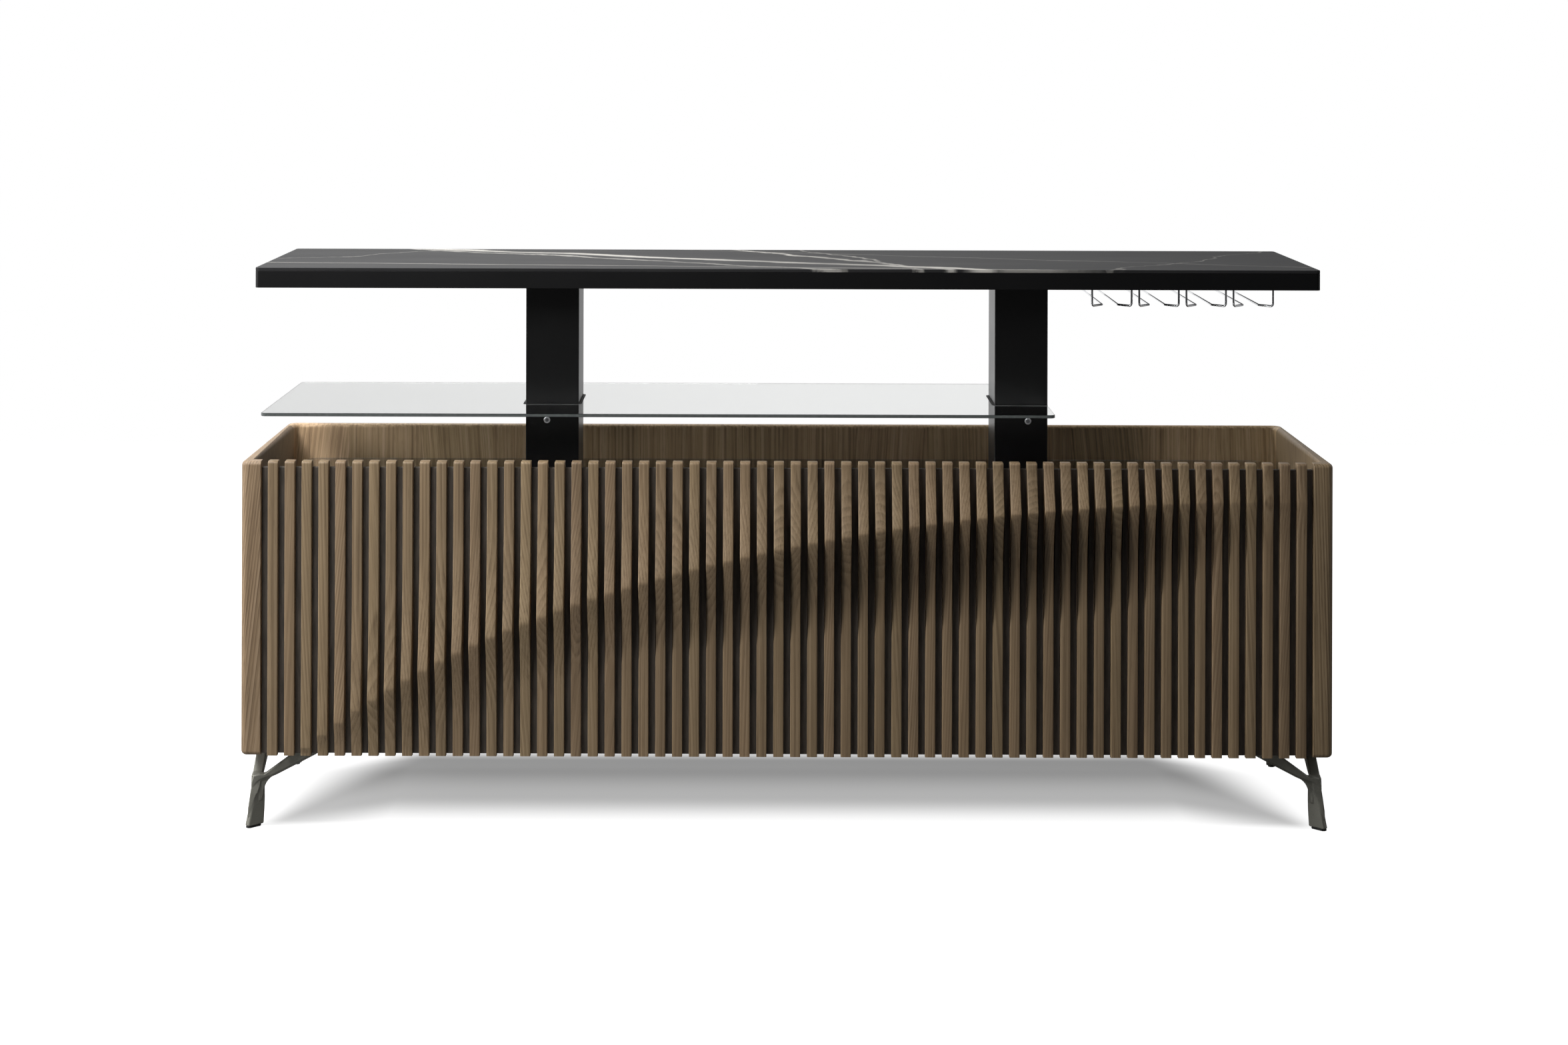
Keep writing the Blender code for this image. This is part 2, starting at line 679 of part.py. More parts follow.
def leg_wing(corner_x, corner_y, side_x, side_y, along_x):
    """One arm of the fork, cut from plate along X or along Y, with its lower edges chamfered."""
    solid = bmesh.new()
    half = WING_THICK / 2
    centre_x = LEG_INSET_X + WING_LEAN
    centre_y = LEG_INSET_Y + WING_LEAN
    outline = wing_outline(ARM_TRIM if along_x else 0.0)
    faces = []
    for offset in (-half, half):
        ring = []
        for reach, height in outline:
            inward_x = centre_x + (reach if along_x else offset)
            inward_y = centre_y + (offset if along_x else reach)
            place = (corner_x - side_x * inward_x, corner_y - side_y * inward_y, height)
            ring.append(solid.verts.new(place))
        faces.append(ring)
        solid.faces.new(ring)
    count = len(faces[0])
    for index in range(count):
        after = (index + 1) % count
        solid.faces.new((faces[0][index], faces[0][after], faces[1][after], faces[1][index]))
    bmesh.ops.recalc_face_normals(solid, faces=solid.faces)
    lower = outline[2:WING_STEPS + 4]

    def lower_edge(a, b):
        return on_wing(a, lower, corner_x, corner_y, side_x, side_y, along_x) and on_wing(
            b, lower, corner_x, corner_y, side_x, side_y, along_x) and (
            near(a.y, b.y) if along_x else near(a.x, b.x))

    round_edges(solid, lower_edge, WING_CHAMFER, 1)
    return solid


def on_wing(point, outline, corner_x, corner_y, side_x, side_y, along_x):
    """Whether a point is one of the arm's outline points."""
    if along_x:
        reach = (corner_x - point.x) * side_x - LEG_INSET_X - WING_LEAN
    else:
        reach = (corner_y - point.y) * side_y - LEG_INSET_Y - WING_LEAN
    return any(near(reach, x) and near(point.z, z) for x, z in outline)


def leg(name, side_x, side_y, metal, glide_material, parent):
    """A cast leg: a 45 degree blade that forks into an arm along each side of the case."""
    corner_x = side_x * HALF
    corner_y = BACK if side_y > 0 else FRONT
    shank = add_piece(
        "leg_" + name, leg_shank(corner_x, corner_y, side_x, side_y), [metal], parent, smooth=True)
    for along_x in (True, False):
        arm_name = "arm_" + ("x_" if along_x else "y_") + name
        arm = leg_wing(corner_x, corner_y, side_x, side_y, along_x)
        combine(shank, add_piece(arm_name, arm, [metal], parent, smooth=True), "UNION")

    outline = []
    for along, across in blade_outline(FOOT_LONG, FOOT_THICK):
        inward_x = LEG_INSET_X + (along - across) * math.sqrt(0.5)
        inward_y = LEG_INSET_Y + (along + across) * math.sqrt(0.5)
        outline.append((corner_x - side_x * inward_x, corner_y - side_y * inward_y))
    add_piece("glide_" + name, prism(outline, 0.0, GLIDE_THICK), [glide_material], parent)
    return shank


def column_outline(margin, radius):
    """The lifting column's plan section, grown or shrunk by a margin, about its own axis."""
    half_width = COLUMN_WIDTH / 2 + margin
    half_depth = COLUMN_DEPTH / 2 + margin
    return rounded_rectangle(-half_width, half_width, -half_depth, half_depth, radius, 2)


def lift_mast(hand, steel, bush_material, parent):
    """The fixed inner mast on its foot plate, with the guide bush round its head."""
    axis = (COLUMN_XS[hand], COLUMN_Y, 0.0)
    outer = -COLUMN_WALL - MAST_CLEARANCE
    inner = outer - MAST_WALL
    mast = tube(column_outline(outer, 0.004), column_outline(inner, 0.002), MAST_BOTTOM - 0.003, MAST_TOP)
    mast = add_piece("mast_tube_" + hand, mast, [steel], parent, axis, smooth=True)
    foot = prism(column_outline(MAST_FOOT_MARGIN, 0.006), FLOOR + GAP, MAST_BOTTOM)
    foot = add_piece("lift_mast_" + hand, foot, [steel], parent, axis, smooth=True)
    combine(foot, mast, "UNION")

    bush_outer = column_outline(-COLUMN_WALL - GAP, 0.002)
    bush_inner = column_outline(outer + GAP, 0.004)
    bush = tube(bush_outer, bush_inner, MAST_TOP - BUSH_INSET - BUSH_HEIGHT, MAST_TOP - BUSH_INSET)
    add_piece("mast_bush_" + hand, bush, [bush_material], parent, axis, smooth=True)


def gear_motor(hand, housing, parent):
    """The upright gear motor inside the mast, with the socket that carries the spindle."""
    base = MAST_BOTTOM + GAP
    shoulder = MOTOR_TOP - GEARBOX_HEIGHT
    socket = JOURNAL_RADIUS + TURNING_CLEARANCE
    profile = [
        (0, base),
        (MOTOR_RADIUS, base),
        (MOTOR_RADIUS, shoulder),
        (MOTOR_RADIUS - MOTOR_SHOULDER, shoulder + MOTOR_SHOULDER),
        (GEARBOX_RADIUS, shoulder + MOTOR_SHOULDER),
        (GEARBOX_RADIUS, MOTOR_TOP),
        (socket, MOTOR_TOP),
        (socket, MOTOR_TOP - JOURNAL_LENGTH - GAP),
        (0, MOTOR_TOP - JOURNAL_LENGTH - GAP),
    ]
    axis = (COLUMN_XS[hand], COLUMN_Y, 0.0)
    add_piece("gear_motor_" + hand, lathe(profile, 24), [housing], parent, axis, smooth=True)


def spindle(hand, steel):
    """The lead screw. Its object turns about its own origin, which is on the column's axis."""
    axis = Vector((COLUMN_XS[hand], COLUMN_Y, MOTOR_TOP))
    joint = joint_empty("spindle_turn_" + hand, axis)
    profile = [
        (0, -JOURNAL_LENGTH),
        (JOURNAL_RADIUS, -JOURNAL_LENGTH),
        (JOURNAL_RADIUS, GAP),
        (SPINDLE_RADIUS, GAP),
        (SPINDLE_RADIUS, SPINDLE_TOP - MOTOR_TOP - 0.002),
        (SPINDLE_RADIUS - 0.002, SPINDLE_TOP - MOTOR_TOP),
        (0, SPINDLE_TOP - MOTOR_TOP),
    ]
    add_piece("spindle_" + hand, lathe(profile, 20), [steel], joint, axis, smooth=True)


def lift_column(hand, materials, parent):
    """The moving outer column with its cap plate, bush, push tube and spindle nut."""
    axis = (COLUMN_XS[hand], COLUMN_Y, 0.0)
    inner_radius = max(COLUMN_CORNER - COLUMN_WALL, 0.001)
    outer = column_outline(0.0, COLUMN_CORNER)
    inner = column_outline(-COLUMN_WALL, inner_radius)
    sleeve = tube(outer, inner, COLUMN_BOTTOM, COLUMN_TOP)
    add_piece("lift_column_" + hand, sleeve, [materials["column"]], parent, axis, smooth=True)

    cap = prism(outer, CAP_BOTTOM, CAP_BOTTOM + CAP_PLATE_THICK)
    add_piece("column_cap_" + hand, cap, [materials["column"]], parent, axis, smooth=True)

    bush_outer = column_outline(-COLUMN_WALL - GAP, 0.001)
    bush_inner = column_outline(-COLUMN_WALL - MAST_CLEARANCE + GAP, 0.004)
    low = COLUMN_BOTTOM + BUSH_INSET
    bush = tube(bush_outer, bush_inner, low, low + BUSH_HEIGHT)
    add_piece("column_bush_" + hand, bush, [materials["bush"]], parent, axis, smooth=True)

    bore = SPINDLE_RADIUS + TURNING_CLEARANCE
    nut = [(bore, NUT_BOTTOM), (NUT_RADIUS, NUT_BOTTOM), (NUT_RADIUS, NUT_TOP), (bore, NUT_TOP)]
    add_piece("spindle_nut_" + hand, ring_lathe(nut, 20), [materials["bush"]], parent, axis, smooth=True)

    wall = PUSH_TUBE_RADIUS - PUSH_TUBE_WALL
    low = NUT_TOP + GAP
    high = CAP_BOTTOM - GAP
    push = [(wall, low), (PUSH_TUBE_RADIUS, low), (PUSH_TUBE_RADIUS, high), (wall, high)]
    add_piece("push_tube_" + hand, ring_lathe(push, 20), [materials["steel"]], parent, axis, smooth=True)


def hanger_centres():
    last = TOP_HALF - HANGER_LAST_FROM_END
    return [last - (HANGER_COUNT - 1 - index) * HANGER_PITCH for index in range(HANGER_COUNT)]


def bar_top(materials, parent):
    """The lacquered board with its hanger sockets, and the ceramic slab on it."""
    outline = rounded_rectangle(-TOP_HALF, TOP_HALF, TOP_FRONT, TOP_REAR, TOP_CORNER_RADIUS)
    board_top = TOP_UNDERSIDE + TOP_BOARD_THICK - GAP
    board = add_piece(
        "top_board", prism(outline, TOP_UNDERSIDE, board_top), [materials["top_black"]], parent, smooth=True)
    sockets = bmesh.new()
    for centre in hanger_centres():
        for hand in (-1, 1):
            place = Vector((centre + hand * HANGER_LEG_SPREAD / 2, TOP_FRONT + HANGER_FRONT_INSET, 0.0))
            add_drill(sockets, place, TOP_UNDERSIDE - 0.002, TOP_UNDERSIDE + HANGER_SOCKET + GAP)
    cutter = add_piece("hanger_socket_cutter", sockets, [materials["top_black"]], parent)
    combine(board, cutter, "DIFFERENCE")

    slab = prism(outline, TOP - CERAMIC_THICK, TOP)

    def top_edge(a, b):
        return near(a.z, TOP) and near(b.z, TOP)

    round_edges(slab, top_edge, CERAMIC_ARRIS, 1)
    add_piece("ceramic_top", slab, [materials["ceramic"]], parent, smooth=True)


def add_drill(solid, place, z0, z1):
    """A drill-shaped cutter: an upright cylinder a little wider than the hanger wire."""
    radius = HANGER_WIRE + 2 * GAP
    steps = 10
    rings = []
    for height in (z0, z1):
        ring = []
        for step in range(steps):
            angle = 2 * math.pi * step / steps
            offset = Vector((radius * math.cos(angle), radius * math.sin(angle), height))
            ring.append(solid.verts.new(place + offset))
        rings.append(ring)
    solid.faces.new(rings[0])
    solid.faces.new(rings[1])
    for step in range(steps):
        after = (step + 1) % steps
        solid.faces.new((rings[0][step], rings[0][after], rings[1][after], rings[1][step]))


def glass_shelf(name, outline, base, glass, parent, notch_end=None):
    """A glass plate with an opening round each column. With notch_end the right one is a notch."""
    plate = add_piece(name, prism(outline, base, base + GLASS_THICK), [glass], parent, smooth=True)
    margin = GASKET_WIDTH
    for hand, x in COLUMN_XS.items():
        cut_outline = column_outline(margin, 0.006)
        if notch_end is not None and hand == "right":
            reach = notch_end - x + 2 * margin
            half_depth = COLUMN_DEPTH / 2 + margin
            low = -COLUMN_WIDTH / 2 - margin
            cut_outline = rounded_rectangle(low, reach, -half_depth, half_depth, 0.006, 2)
        cutter = prism(cut_outline, base - GLASS_THICK, base + 2 * GLASS_THICK)
        cutter = add_piece(name + "_cutter_" + hand, cutter, [glass], parent, (x, COLUMN_Y, 0.0))
        combine(plate, cutter, "DIFFERENCE")
    return plate


def gasket(name, hand, base, rubber, parent, notch_end=None):
    """The rubber trim between a column and the glass cut out round it."""
    outer = column_outline(GASKET_WIDTH - GAP, 0.005)
    inner = column_outline(GAP, COLUMN_CORNER)
    trim = tube(outer, inner, base, base + GLASS_THICK + GASKET_PROUD)
    piece = add_piece(name, trim, [rubber], parent, (COLUMN_XS[hand], COLUMN_Y, 0.0))
    if notch_end is not None:
        end = block(4 * GASKET_WIDTH, 2 * COLUMN_DEPTH, 4 * GLASS_THICK)
        place = (notch_end + 2 * GASKET_WIDTH - GAP, COLUMN_Y, base)
        combine(piece, add_piece(name + "_cutter", end, [rubber], parent, place), "DIFFERENCE")
    return piece


def shelf_rods(level, base, front_edge, rear_edge, chrome, parent):
    """Round rods that stand out of each column, front and back, and carry the glass."""
    column_front = COLUMN_Y - COLUMN_DEPTH / 2
    column_rear = COLUMN_Y + COLUMN_DEPTH / 2
    runs = {
        "front": (column_front - GAP, -(column_front - GAP - front_edge - ROD_FRONT_INSET)),
        "rear": (column_rear + GAP, rear_edge - ROD_REAR_INSET - column_rear - GAP),
    }
    for hand, x in COLUMN_XS.items():
        for end, (root, run) in runs.items():
            length = abs(run)
            profile = [
                (0, 0),
                (ROD_RADIUS, 0),
                (ROD_RADIUS, length - ROD_ARRIS),
                (ROD_RADIUS - ROD_ARRIS, length),
                (0, length),
            ]
            rod = lathe(profile, 16)
            for vertex in rod.verts:
                turned = Vector((vertex.co.x, math.copysign(vertex.co.z, run), vertex.co.y))
                vertex.co = turned
            place = (x, root, base - ROD_RADIUS - GAP)
            add_piece(level + "_rod_" + end + "_" + hand, rod, [chrome], parent, place, smooth=True)


def bend_path(corners, radius, steps):
    """Replace each inner corner of a path by an arc of a bending radius."""
    path = [corners[0]]
    for before, corner, after in zip(corners, corners[1:], corners[2:]):
        into = (corner - before).normalized()
        out = (after - corner).normalized()
        turn = into.angle(out)
        setback = radius * math.tan(turn / 2)
        start = corner - into * setback
        normal = (out - into * into.dot(out)).normalized()
        centre = start + normal * radius
        for step in range(steps + 1):
            angle = turn * step / steps
            path.append(centre - normal * radius * math.cos(angle) + into * radius * math.sin(angle))
    path.append(corners[-1])
    return path


def stem_hanger(name, centre, chrome, parent):
    """One bent wire: two front legs, two rails for the foot of a glass, and a rear loop."""
    front = TOP_FRONT + HANGER_FRONT_INSET
    rear = TOP_REAR - HANGER_REAR_INSET
    socket = TOP_UNDERSIDE + HANGER_SOCKET
    seat = TOP_UNDERSIDE - HANGER_WIRE - GAP
    low = TOP_UNDERSIDE - HANGER_DROP + HANGER_WIRE
    half_leg = HANGER_LEG_SPREAD / 2
    half_rail = HANGER_RAIL_SPREAD / 2
    corners = []
    for hand in (-1, 1):
        run = [
            Vector((hand * half_leg, front, socket)),
            Vector((hand * half_leg, front, low)),
            Vector((hand * half_rail, front + HANGER_FLARE_RUN, low)),
            Vector((hand * half_rail, rear, low)),
            Vector((hand * half_rail, rear, seat)),
        ]
        corners += run if hand < 0 else list(reversed(run))
    offset = Vector((centre, 0.0, 0.0))
    path = bend_path([corner + offset - parent.location for corner in corners], HANGER_BEND, 3)
    curve = bpy.data.curves.new(name, "CURVE")
    curve.dimensions = "3D"
    curve.bevel_depth = HANGER_WIRE
    curve.bevel_resolution = 1
    curve.use_fill_caps = True
    spline = curve.splines.new("POLY")
    spline.points.add(len(path) - 1)
    for point, place in zip(spline.points, path):
        point.co = (*place, 1.0)
    curve.materials.append(chrome)
    wire = bpy.data.objects.new(name, curve)
    wire.parent = parent
    bpy.context.scene.collection.objects.link(wire)
    return wire


def control_box(housing, parent):
    """The housing of the lift's electronics, on the case floor by the back board."""
    width, depth, height = CONTROL_BOX_SIZE
    outline = rounded_rectangle(-width / 2, width / 2, -depth / 2, depth / 2, CONTROL_BOX_RADIUS, 2)
    solid = prism(outline, 0.0, height)

    def lid_edge(a, b):
        return near(a.z, height) and near(b.z, height)

    round_edges(solid, lid_edge, CONTROL_BOX_RADIUS / 2, 2)
    place = (0.0, BACK - BOARD - CONTROL_BOX_FROM_BACK - depth / 2, FLOOR + GAP)
    add_piece("control_box", solid, [housing], parent, place, smooth=True)


def power_inlet(housing, parent):
    """The mains inlet in the back board: a flange, a body behind it and a blind socket."""
    height = FLOOR + INLET_HEIGHT
    flange_face = BACK - INLET_RECESS + GAP + INLET_FLANGE[2]
    flange = block(INLET_FLANGE[0], INLET_FLANGE[2], INLET_FLANGE[1])
    place = (INLET_X, flange_face - INLET_FLANGE[2] / 2, height)
    inlet = add_piece("power_inlet", flange, [housing], parent, place)
    body = block(INLET_BODY[0], INLET_BODY[2], INLET_BODY[1])
    place = (INLET_X, flange_face - INLET_FLANGE[2] / 2 - INLET_BODY[2] / 2, height)
    body = add_piece("inlet_body", body, [housing], parent, place)
    socket = block(INLET_SOCKET[0], 2 * INLET_SOCKET[2], INLET_SOCKET[1])
    socket = add_piece("inlet_socket_cutter", socket, [housing], parent, (INLET_X, flange_face, height))
    combine(inlet, body, "UNION")
    combine(inlet, socket, "DIFFERENCE")


def build_case(materials, body):
    for hand, side in (("left", -1), ("right", 1)):
        side_panel("side_panel_" + hand, side, materials["oak"], body)
        rear_post("rear_post_" + hand, side, materials["oak"], body)
        leg("front_" + hand, side, -1, materials["leg"], materials["glide"], body)
        leg("rear_" + hand, side, 1, materials["leg"], materials["glide"], body)
        lift_mast(hand, materials["steel"], materials["bush"], body)
        gear_motor(hand, materials["housing"], body)
    back_panel(materials["oak"], body)
    bottom_panel(materials["oak"], body)
    slatted_front(materials["oak"], materials["front_black"], body)
    control_box(materials["housing"], body)
    power_inlet(materials["housing"], body)


def build_rack(materials, body):
    bar_top(materials, body)
    for hand in COLUMN_XS:
        lift_column(hand, materials, body)

    notch_end = COLUMN_XS["right"] + COLUMN_WIDTH / 2
    upper_rear = TOP_REAR - UPPER_SHELF_REAR_INSET
    outline = rounded_rectangle(
        -HALF + UPPER_SHELF_END_INSET, notch_end, TOP_FRONT, upper_rear, UPPER_SHELF_RADIUS)
    glass_shelf("upper_glass_shelf", outline, UPPER_GLASS, materials["glass"], body, notch_end)
    gasket("upper_gasket_left", "left", UPPER_GLASS, materials["gasket"], body)
    gasket("upper_gasket_right", "right", UPPER_GLASS, materials["gasket"], body, notch_end)
    shelf_rods("upper", UPPER_GLASS, TOP_FRONT, upper_rear, materials["chrome"], body)

    half = HALF - LOWER_SHELF_END_INSET
    lower_front = FRONT + LOWER_SHELF_FRONT_INSET
    lower_rear = BACK - BOARD - LOWER_SHELF_REAR_CLEARANCE
    outline = rounded_rectangle(-half, half, lower_front, lower_rear, LOWER_SHELF_RADIUS, 4)
    glass_shelf("lower_glass_shelf", outline, LOWER_GLASS, materials["glass"], body)
    gasket("lower_gasket_left", "left", LOWER_GLASS, materials["gasket"], body)
    gasket("lower_gasket_right", "right", LOWER_GLASS, materials["gasket"], body)
    shelf_rods("lower", LOWER_GLASS, lower_front, lower_rear, materials["chrome"], body)

    for index, centre in enumerate(hanger_centres()):
        stem_hanger("stem_hanger_" + str(index + 1), centre, materials["chrome"], body)


def main():
    clear_scene()
    materials = make_materials()
    build_case(materials, joint_empty("case", Vector((0.0, 0.0, 0.0))))
    build_rack(materials, joint_empty("rack_lift", Vector((0.0, COLUMN_Y, TOP_UNDERSIDE))))
    for hand in COLUMN_XS:
        spindle(hand, materials["steel"])


main()
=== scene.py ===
# The looks of a bar sideboard, built round its packed construction model: a slatted oak case on
# cast legs, with a bar rack that rises out of it. Metres, +Z up, +Y towards the back.

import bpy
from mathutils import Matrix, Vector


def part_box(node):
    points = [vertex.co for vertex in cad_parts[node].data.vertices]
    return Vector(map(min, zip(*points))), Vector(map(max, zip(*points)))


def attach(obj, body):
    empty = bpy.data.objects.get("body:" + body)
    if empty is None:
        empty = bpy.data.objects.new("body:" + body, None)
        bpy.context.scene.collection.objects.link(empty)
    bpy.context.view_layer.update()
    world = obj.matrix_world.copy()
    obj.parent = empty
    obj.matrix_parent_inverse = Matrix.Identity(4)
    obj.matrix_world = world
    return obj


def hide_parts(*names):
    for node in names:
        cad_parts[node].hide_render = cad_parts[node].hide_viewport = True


bl_info = {
    "name": "Bar Sideboard",
    "version": (1, 0, 0),
    "blender": (4, 5, 0),
    "location": "3D View > Sidebar > Sideboard",
    "description": "Builds a slatted oak sideboard with a bar rack that lifts out of it",
    "category": "Add Mesh",
}

import math

import bmesh
import bpy
from bpy.props import FloatProperty, FloatVectorProperty, IntProperty, PointerProperty
from bpy.types import Node, NodeSocket, Operator, Panel, PropertyGroup
from mathutils import Vector

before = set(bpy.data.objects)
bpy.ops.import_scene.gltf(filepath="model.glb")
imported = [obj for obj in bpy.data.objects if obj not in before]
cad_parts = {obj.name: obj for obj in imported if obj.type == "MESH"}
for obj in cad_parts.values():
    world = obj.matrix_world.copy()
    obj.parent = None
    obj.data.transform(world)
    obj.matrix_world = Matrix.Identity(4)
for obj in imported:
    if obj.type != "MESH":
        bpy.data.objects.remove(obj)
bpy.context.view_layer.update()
HANDS = ("left", "right")

# Places read from the construction model
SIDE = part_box("side_panel_right")
HALF = SIDE[1].x
FRONT = SIDE[0].y
LEG_HEIGHT = SIDE[0].z
RIM = SIDE[1].z
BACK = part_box("back_panel")[1].y
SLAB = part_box("ceramic_top")
TOP_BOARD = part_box("top_board")
COLUMNS = {hand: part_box("lift_column_" + hand) for hand in HANDS}
COLUMN_Y = (COLUMNS["left"][0].y + COLUMNS["left"][1].y) / 2
MIDDLE_Y = (FRONT + BACK) / 2

# Case boards
BOARD = 0.018
STILE_WIDTH = 0.0365
STILE_DEPTH = 0.022
STILE_RADIUS = 0.012
STILE_EDGE = 0.0013
POST_LEG = 0.045
POST_OUTER_RADIUS = 0.022
POST_INNER_RADIUS = 0.010
RIM_OUTER_RADIUS = 0.008
RIM_INNER_RADIUS = 0.0085
INNER = HALF - BOARD
SEAM = 0.0003
INLET_RECESS = 0.003
INLET_FLANGE = (0.0055, 0.0045)
PANEL_EASE = 0.0008

# Slatted front
CASE_HEIGHT = RIM - LEG_HEIGHT
SLAT_TAIL = 0.020
BOARD_SETBACK = 0.012
BOARD_THICK = 0.012
BOARD_BELOW_RIM = 0.013
BOARD_TOP = CASE_HEIGHT - BOARD_BELOW_RIM
BOARD_LIFT = 0.002
ROWS_BELOW = 8
ROWS_ABOVE = 11
ROW_CROWDING = 1.7
SLAT_TOP_RADIUS = 0.0045
SLAT_SHOULDER = 0.0065
CREST_SOFT = 0.0022

# The crest of the relief, from the case's left and right ends
CREST_LEFT_X = 0.095 - HALF
CREST_FULL_X = 0.370 - HALF
CREST_FADE_X = HALF - 0.550
CREST_FLAT_X = HALF - 0.180
CREST_RIGHT_X = HALF - 0.040
CREST_RUN = CREST_FLAT_X - (0.121 - HALF)
CREST_TOP = CASE_HEIGHT - 0.070
CREST_FALL = 0.350
CREST_HOOK = 0.103
CREST_LOWEST = 0.010
CREST_FADE_SHARE = 0.15
SLOPE_ABOVE = 0.240
SLOPE_ABOVE_LEAST = 0.065
SLOPE_BELOW_LEFT = 0.160
SLOPE_BELOW_RIGHT = 0.095

# Cast leg
LEG_INSET_X = 0.0188
LEG_INSET_Y = 0.0325
LEG_TOP = LEG_HEIGHT - SEAM
ARM_LEAN = 0.0026
ARM_OUTER = 0.0066
ARM_FLARE = 0.0017
ARM_BACK = 0.0105
ARM_CHAMFER = 0.0095
ARM_FILLET = 0.040
ARM_ROOT = 0.0585
ARM_INNER = 0.0140
ARM_SLOPE = 28.1
ARM_REACH = 0.1212
ARM_SEAT_REACH = 0.0745
CROTCH = (0.0175, 0.0970)
GLIDE_THICK = 0.003
LEG_GRAIN = 0.0010

# Rack
TOP_CORNER = 0.008
SLAB_EDGE = 0.001
COLUMN_EDGE = 0.0015
COLUMN_WALL = 0.003
CAP_CORNER = 0.003
SHELF_CORNERS = {"upper_glass_shelf": 0.010, "lower_glass_shelf": 0.025}
CUTOUT_CORNER = 0.006
GASKET_WIDTH = 0.0045
ROD_RADIUS = 0.006
ROD_EDGE = 0.0012
ROD_WALL = 0.0016
ROD_BORE = 0.006
HANGER_WIRE = 0.002
HANGER_BEND = 0.006
HANGER_HALF_SLOT = 0.015
HANGER_SPLAY = 0.026
HANGER_SOCKET = 0.004

# The photograph's camera
PHOTO_WIDTH = 2352
PHOTO_HEIGHT = 1568
FOCAL_PIXELS = 4034
SENSOR = 36.0
CAMERA_PLACE = (-0.057, FRONT - 4.921, 1.4527)
CAMERA_ROLL = 0.00286
VANISHING_X = 1136.4
VANISHING_Y = 59

# Studio lamps, as name, place, aim, size and power
LAMPS = (
    ("key_light", (-2.1, -1.1, 3.0), (-0.4, -0.1, 0.5), (2.0, 0.8), 96.0),
    ("low_light", (-1.4, -2.4, 2.2), (-0.5, 0.1, 0.66), (0.9, 0.9), 22.0),
    ("side_light", (-3.0, -0.5, 1.35), (-0.3, 0.1, 0.6), (1.0, 1.0), 38.0),
    ("back_light", (-1.0, 1.7, 3.0), (-0.3, 0.26, 0.68), (2.0, 0.8), 45.0),
)

# The studio's brightness before and behind the object, and before it as a mirror shows it
LIGHT_IN_FRONT = 0.11
LIGHT_BEHIND = 0.28
MIRRORED_IN_FRONT = 0.06
FLOOR_SIZE = 9.0
FLOOR_BELOW = 0.0005
# How far back the floor's painted shadow reaches
PAINTED_SHADE_DEPTH = 0.6

# Veins of the slab: (x on its middle line, slope dx/dy), half width, strength, wander
VEINS = (
    ((-0.13, -2.34), 0.0075, 0.95, 0.016),
    ((-0.30, -1.80), 0.0042, 0.60, 0.024),
    ((0.105, -0.85), 0.0042, 0.70, 0.014),
    ((0.140, -0.43), 0.0024, 0.45, 0.014),
    ((-2.05, -12.0), 0.0030, 0.45, 0.026),
    ((-0.92, 1.30), 0.0020, 0.28, 0.024),
    ((0.52, -3.00), 0.0018, 0.26, 0.020),
    ((0.76, 0.90), 0.0016, 0.26, 0.020),
)
VEIN_SWAY = 12


# Values that a user would change

def srgb(text):
    """Linear colour of an sRGB hex value."""
    channels = []
    for start in (0, 2, 4):
        value = int(text[start:start + 2], 16) / 255
        channels.append(value / 12.92 if value <= 0.04045 else ((value + 0.055) / 1.055) ** 2.4)
    return tuple(channels)


def length(name, text, metres):
    return FloatProperty(name=name, description=text, default=metres, unit="LENGTH")


def paint(name, text, colour):
    return FloatVectorProperty(name=name, description=text, default=srgb(colour), subtype="COLOR")


class SideboardSizes(PropertyGroup):
    slat_count: IntProperty(name="Slats", description="Number of slats on the front", default=62, min=2)
    slat_width: length("Slat width", "Width of one slat", 0.0185)
    relief: length("Relief", "How far the crest stands out of the front", 0.0275)
    slat_edge: length("Slat edge", "Radius of a slat's long edges", 0.0013)
    glass_arris: length("Glass arris", "Ground chamfer of the glass", 0.0006)
    board_ease: length("Board ease", "Eased edge of the lacquered top board", 0.0008)


class SideboardFinishes(PropertyGroup):
    oak: paint("Oak", "Body colour of the smoked oak", "8f7858")
    oak_dark: paint("Oak, dark grain", "Late wood", "5c4730")
    oak_light: paint("Oak, light grain", "Early wood", "a89173")
    oak_pores: paint("Oak pores", "Tint of the open pores", "7a6853")
    front_board: paint("Front board", "Black stain behind the slats", "544d46")
    leg: paint("Legs", "Cast gunmetal", "86857c")
    glide: paint("Glides", "Black polyethylene", "161616")
    lacquer: paint("Top board", "Black satin lacquer", "0e0e0f")
    ceramic: paint("Ceramic", "Ground colour of the ceramic", "272728")
    vein: paint("Veins", "Colour of the ceramic's veins", "c9c6bf")
    coat: paint("Columns", "Black powder coat", "111112")
    rubber: paint("Trim", "Black rubber", "141414")
    chrome: paint("Rods and hangers", "Chrome plate", "dcdde0")
    steel: paint("Masts and screws", "Zinc-plated steel", "b4b7bb")
    acetal: paint("Bushes and nuts", "White acetal", "dcdad4")
    housing: paint("Housings", "Black moulded plastic", "1b1b1c")


# Modelling helpers

def deselect_all():
    active = bpy.context.view_layer.objects.active
    if active is not None and active.mode != "OBJECT":
        bpy.ops.object.mode_set(mode="OBJECT")
    bpy.ops.object.select_all(action="DESELECT")


def work_on(piece):
    deselect_all()
    piece.select_set(True)
    bpy.context.view_layer.objects.active = piece


def edit_all(piece):
    """Enter edit mode with the whole mesh selected."""
    work_on(piece)
    bpy.ops.object.mode_set(mode="EDIT")
    bpy.ops.mesh.select_all(action="SELECT")


def leave_edit():
    bpy.ops.object.mode_set(mode="OBJECT")


def name_piece(piece, name):
    piece.name = name
    piece.data.name = name
    return piece


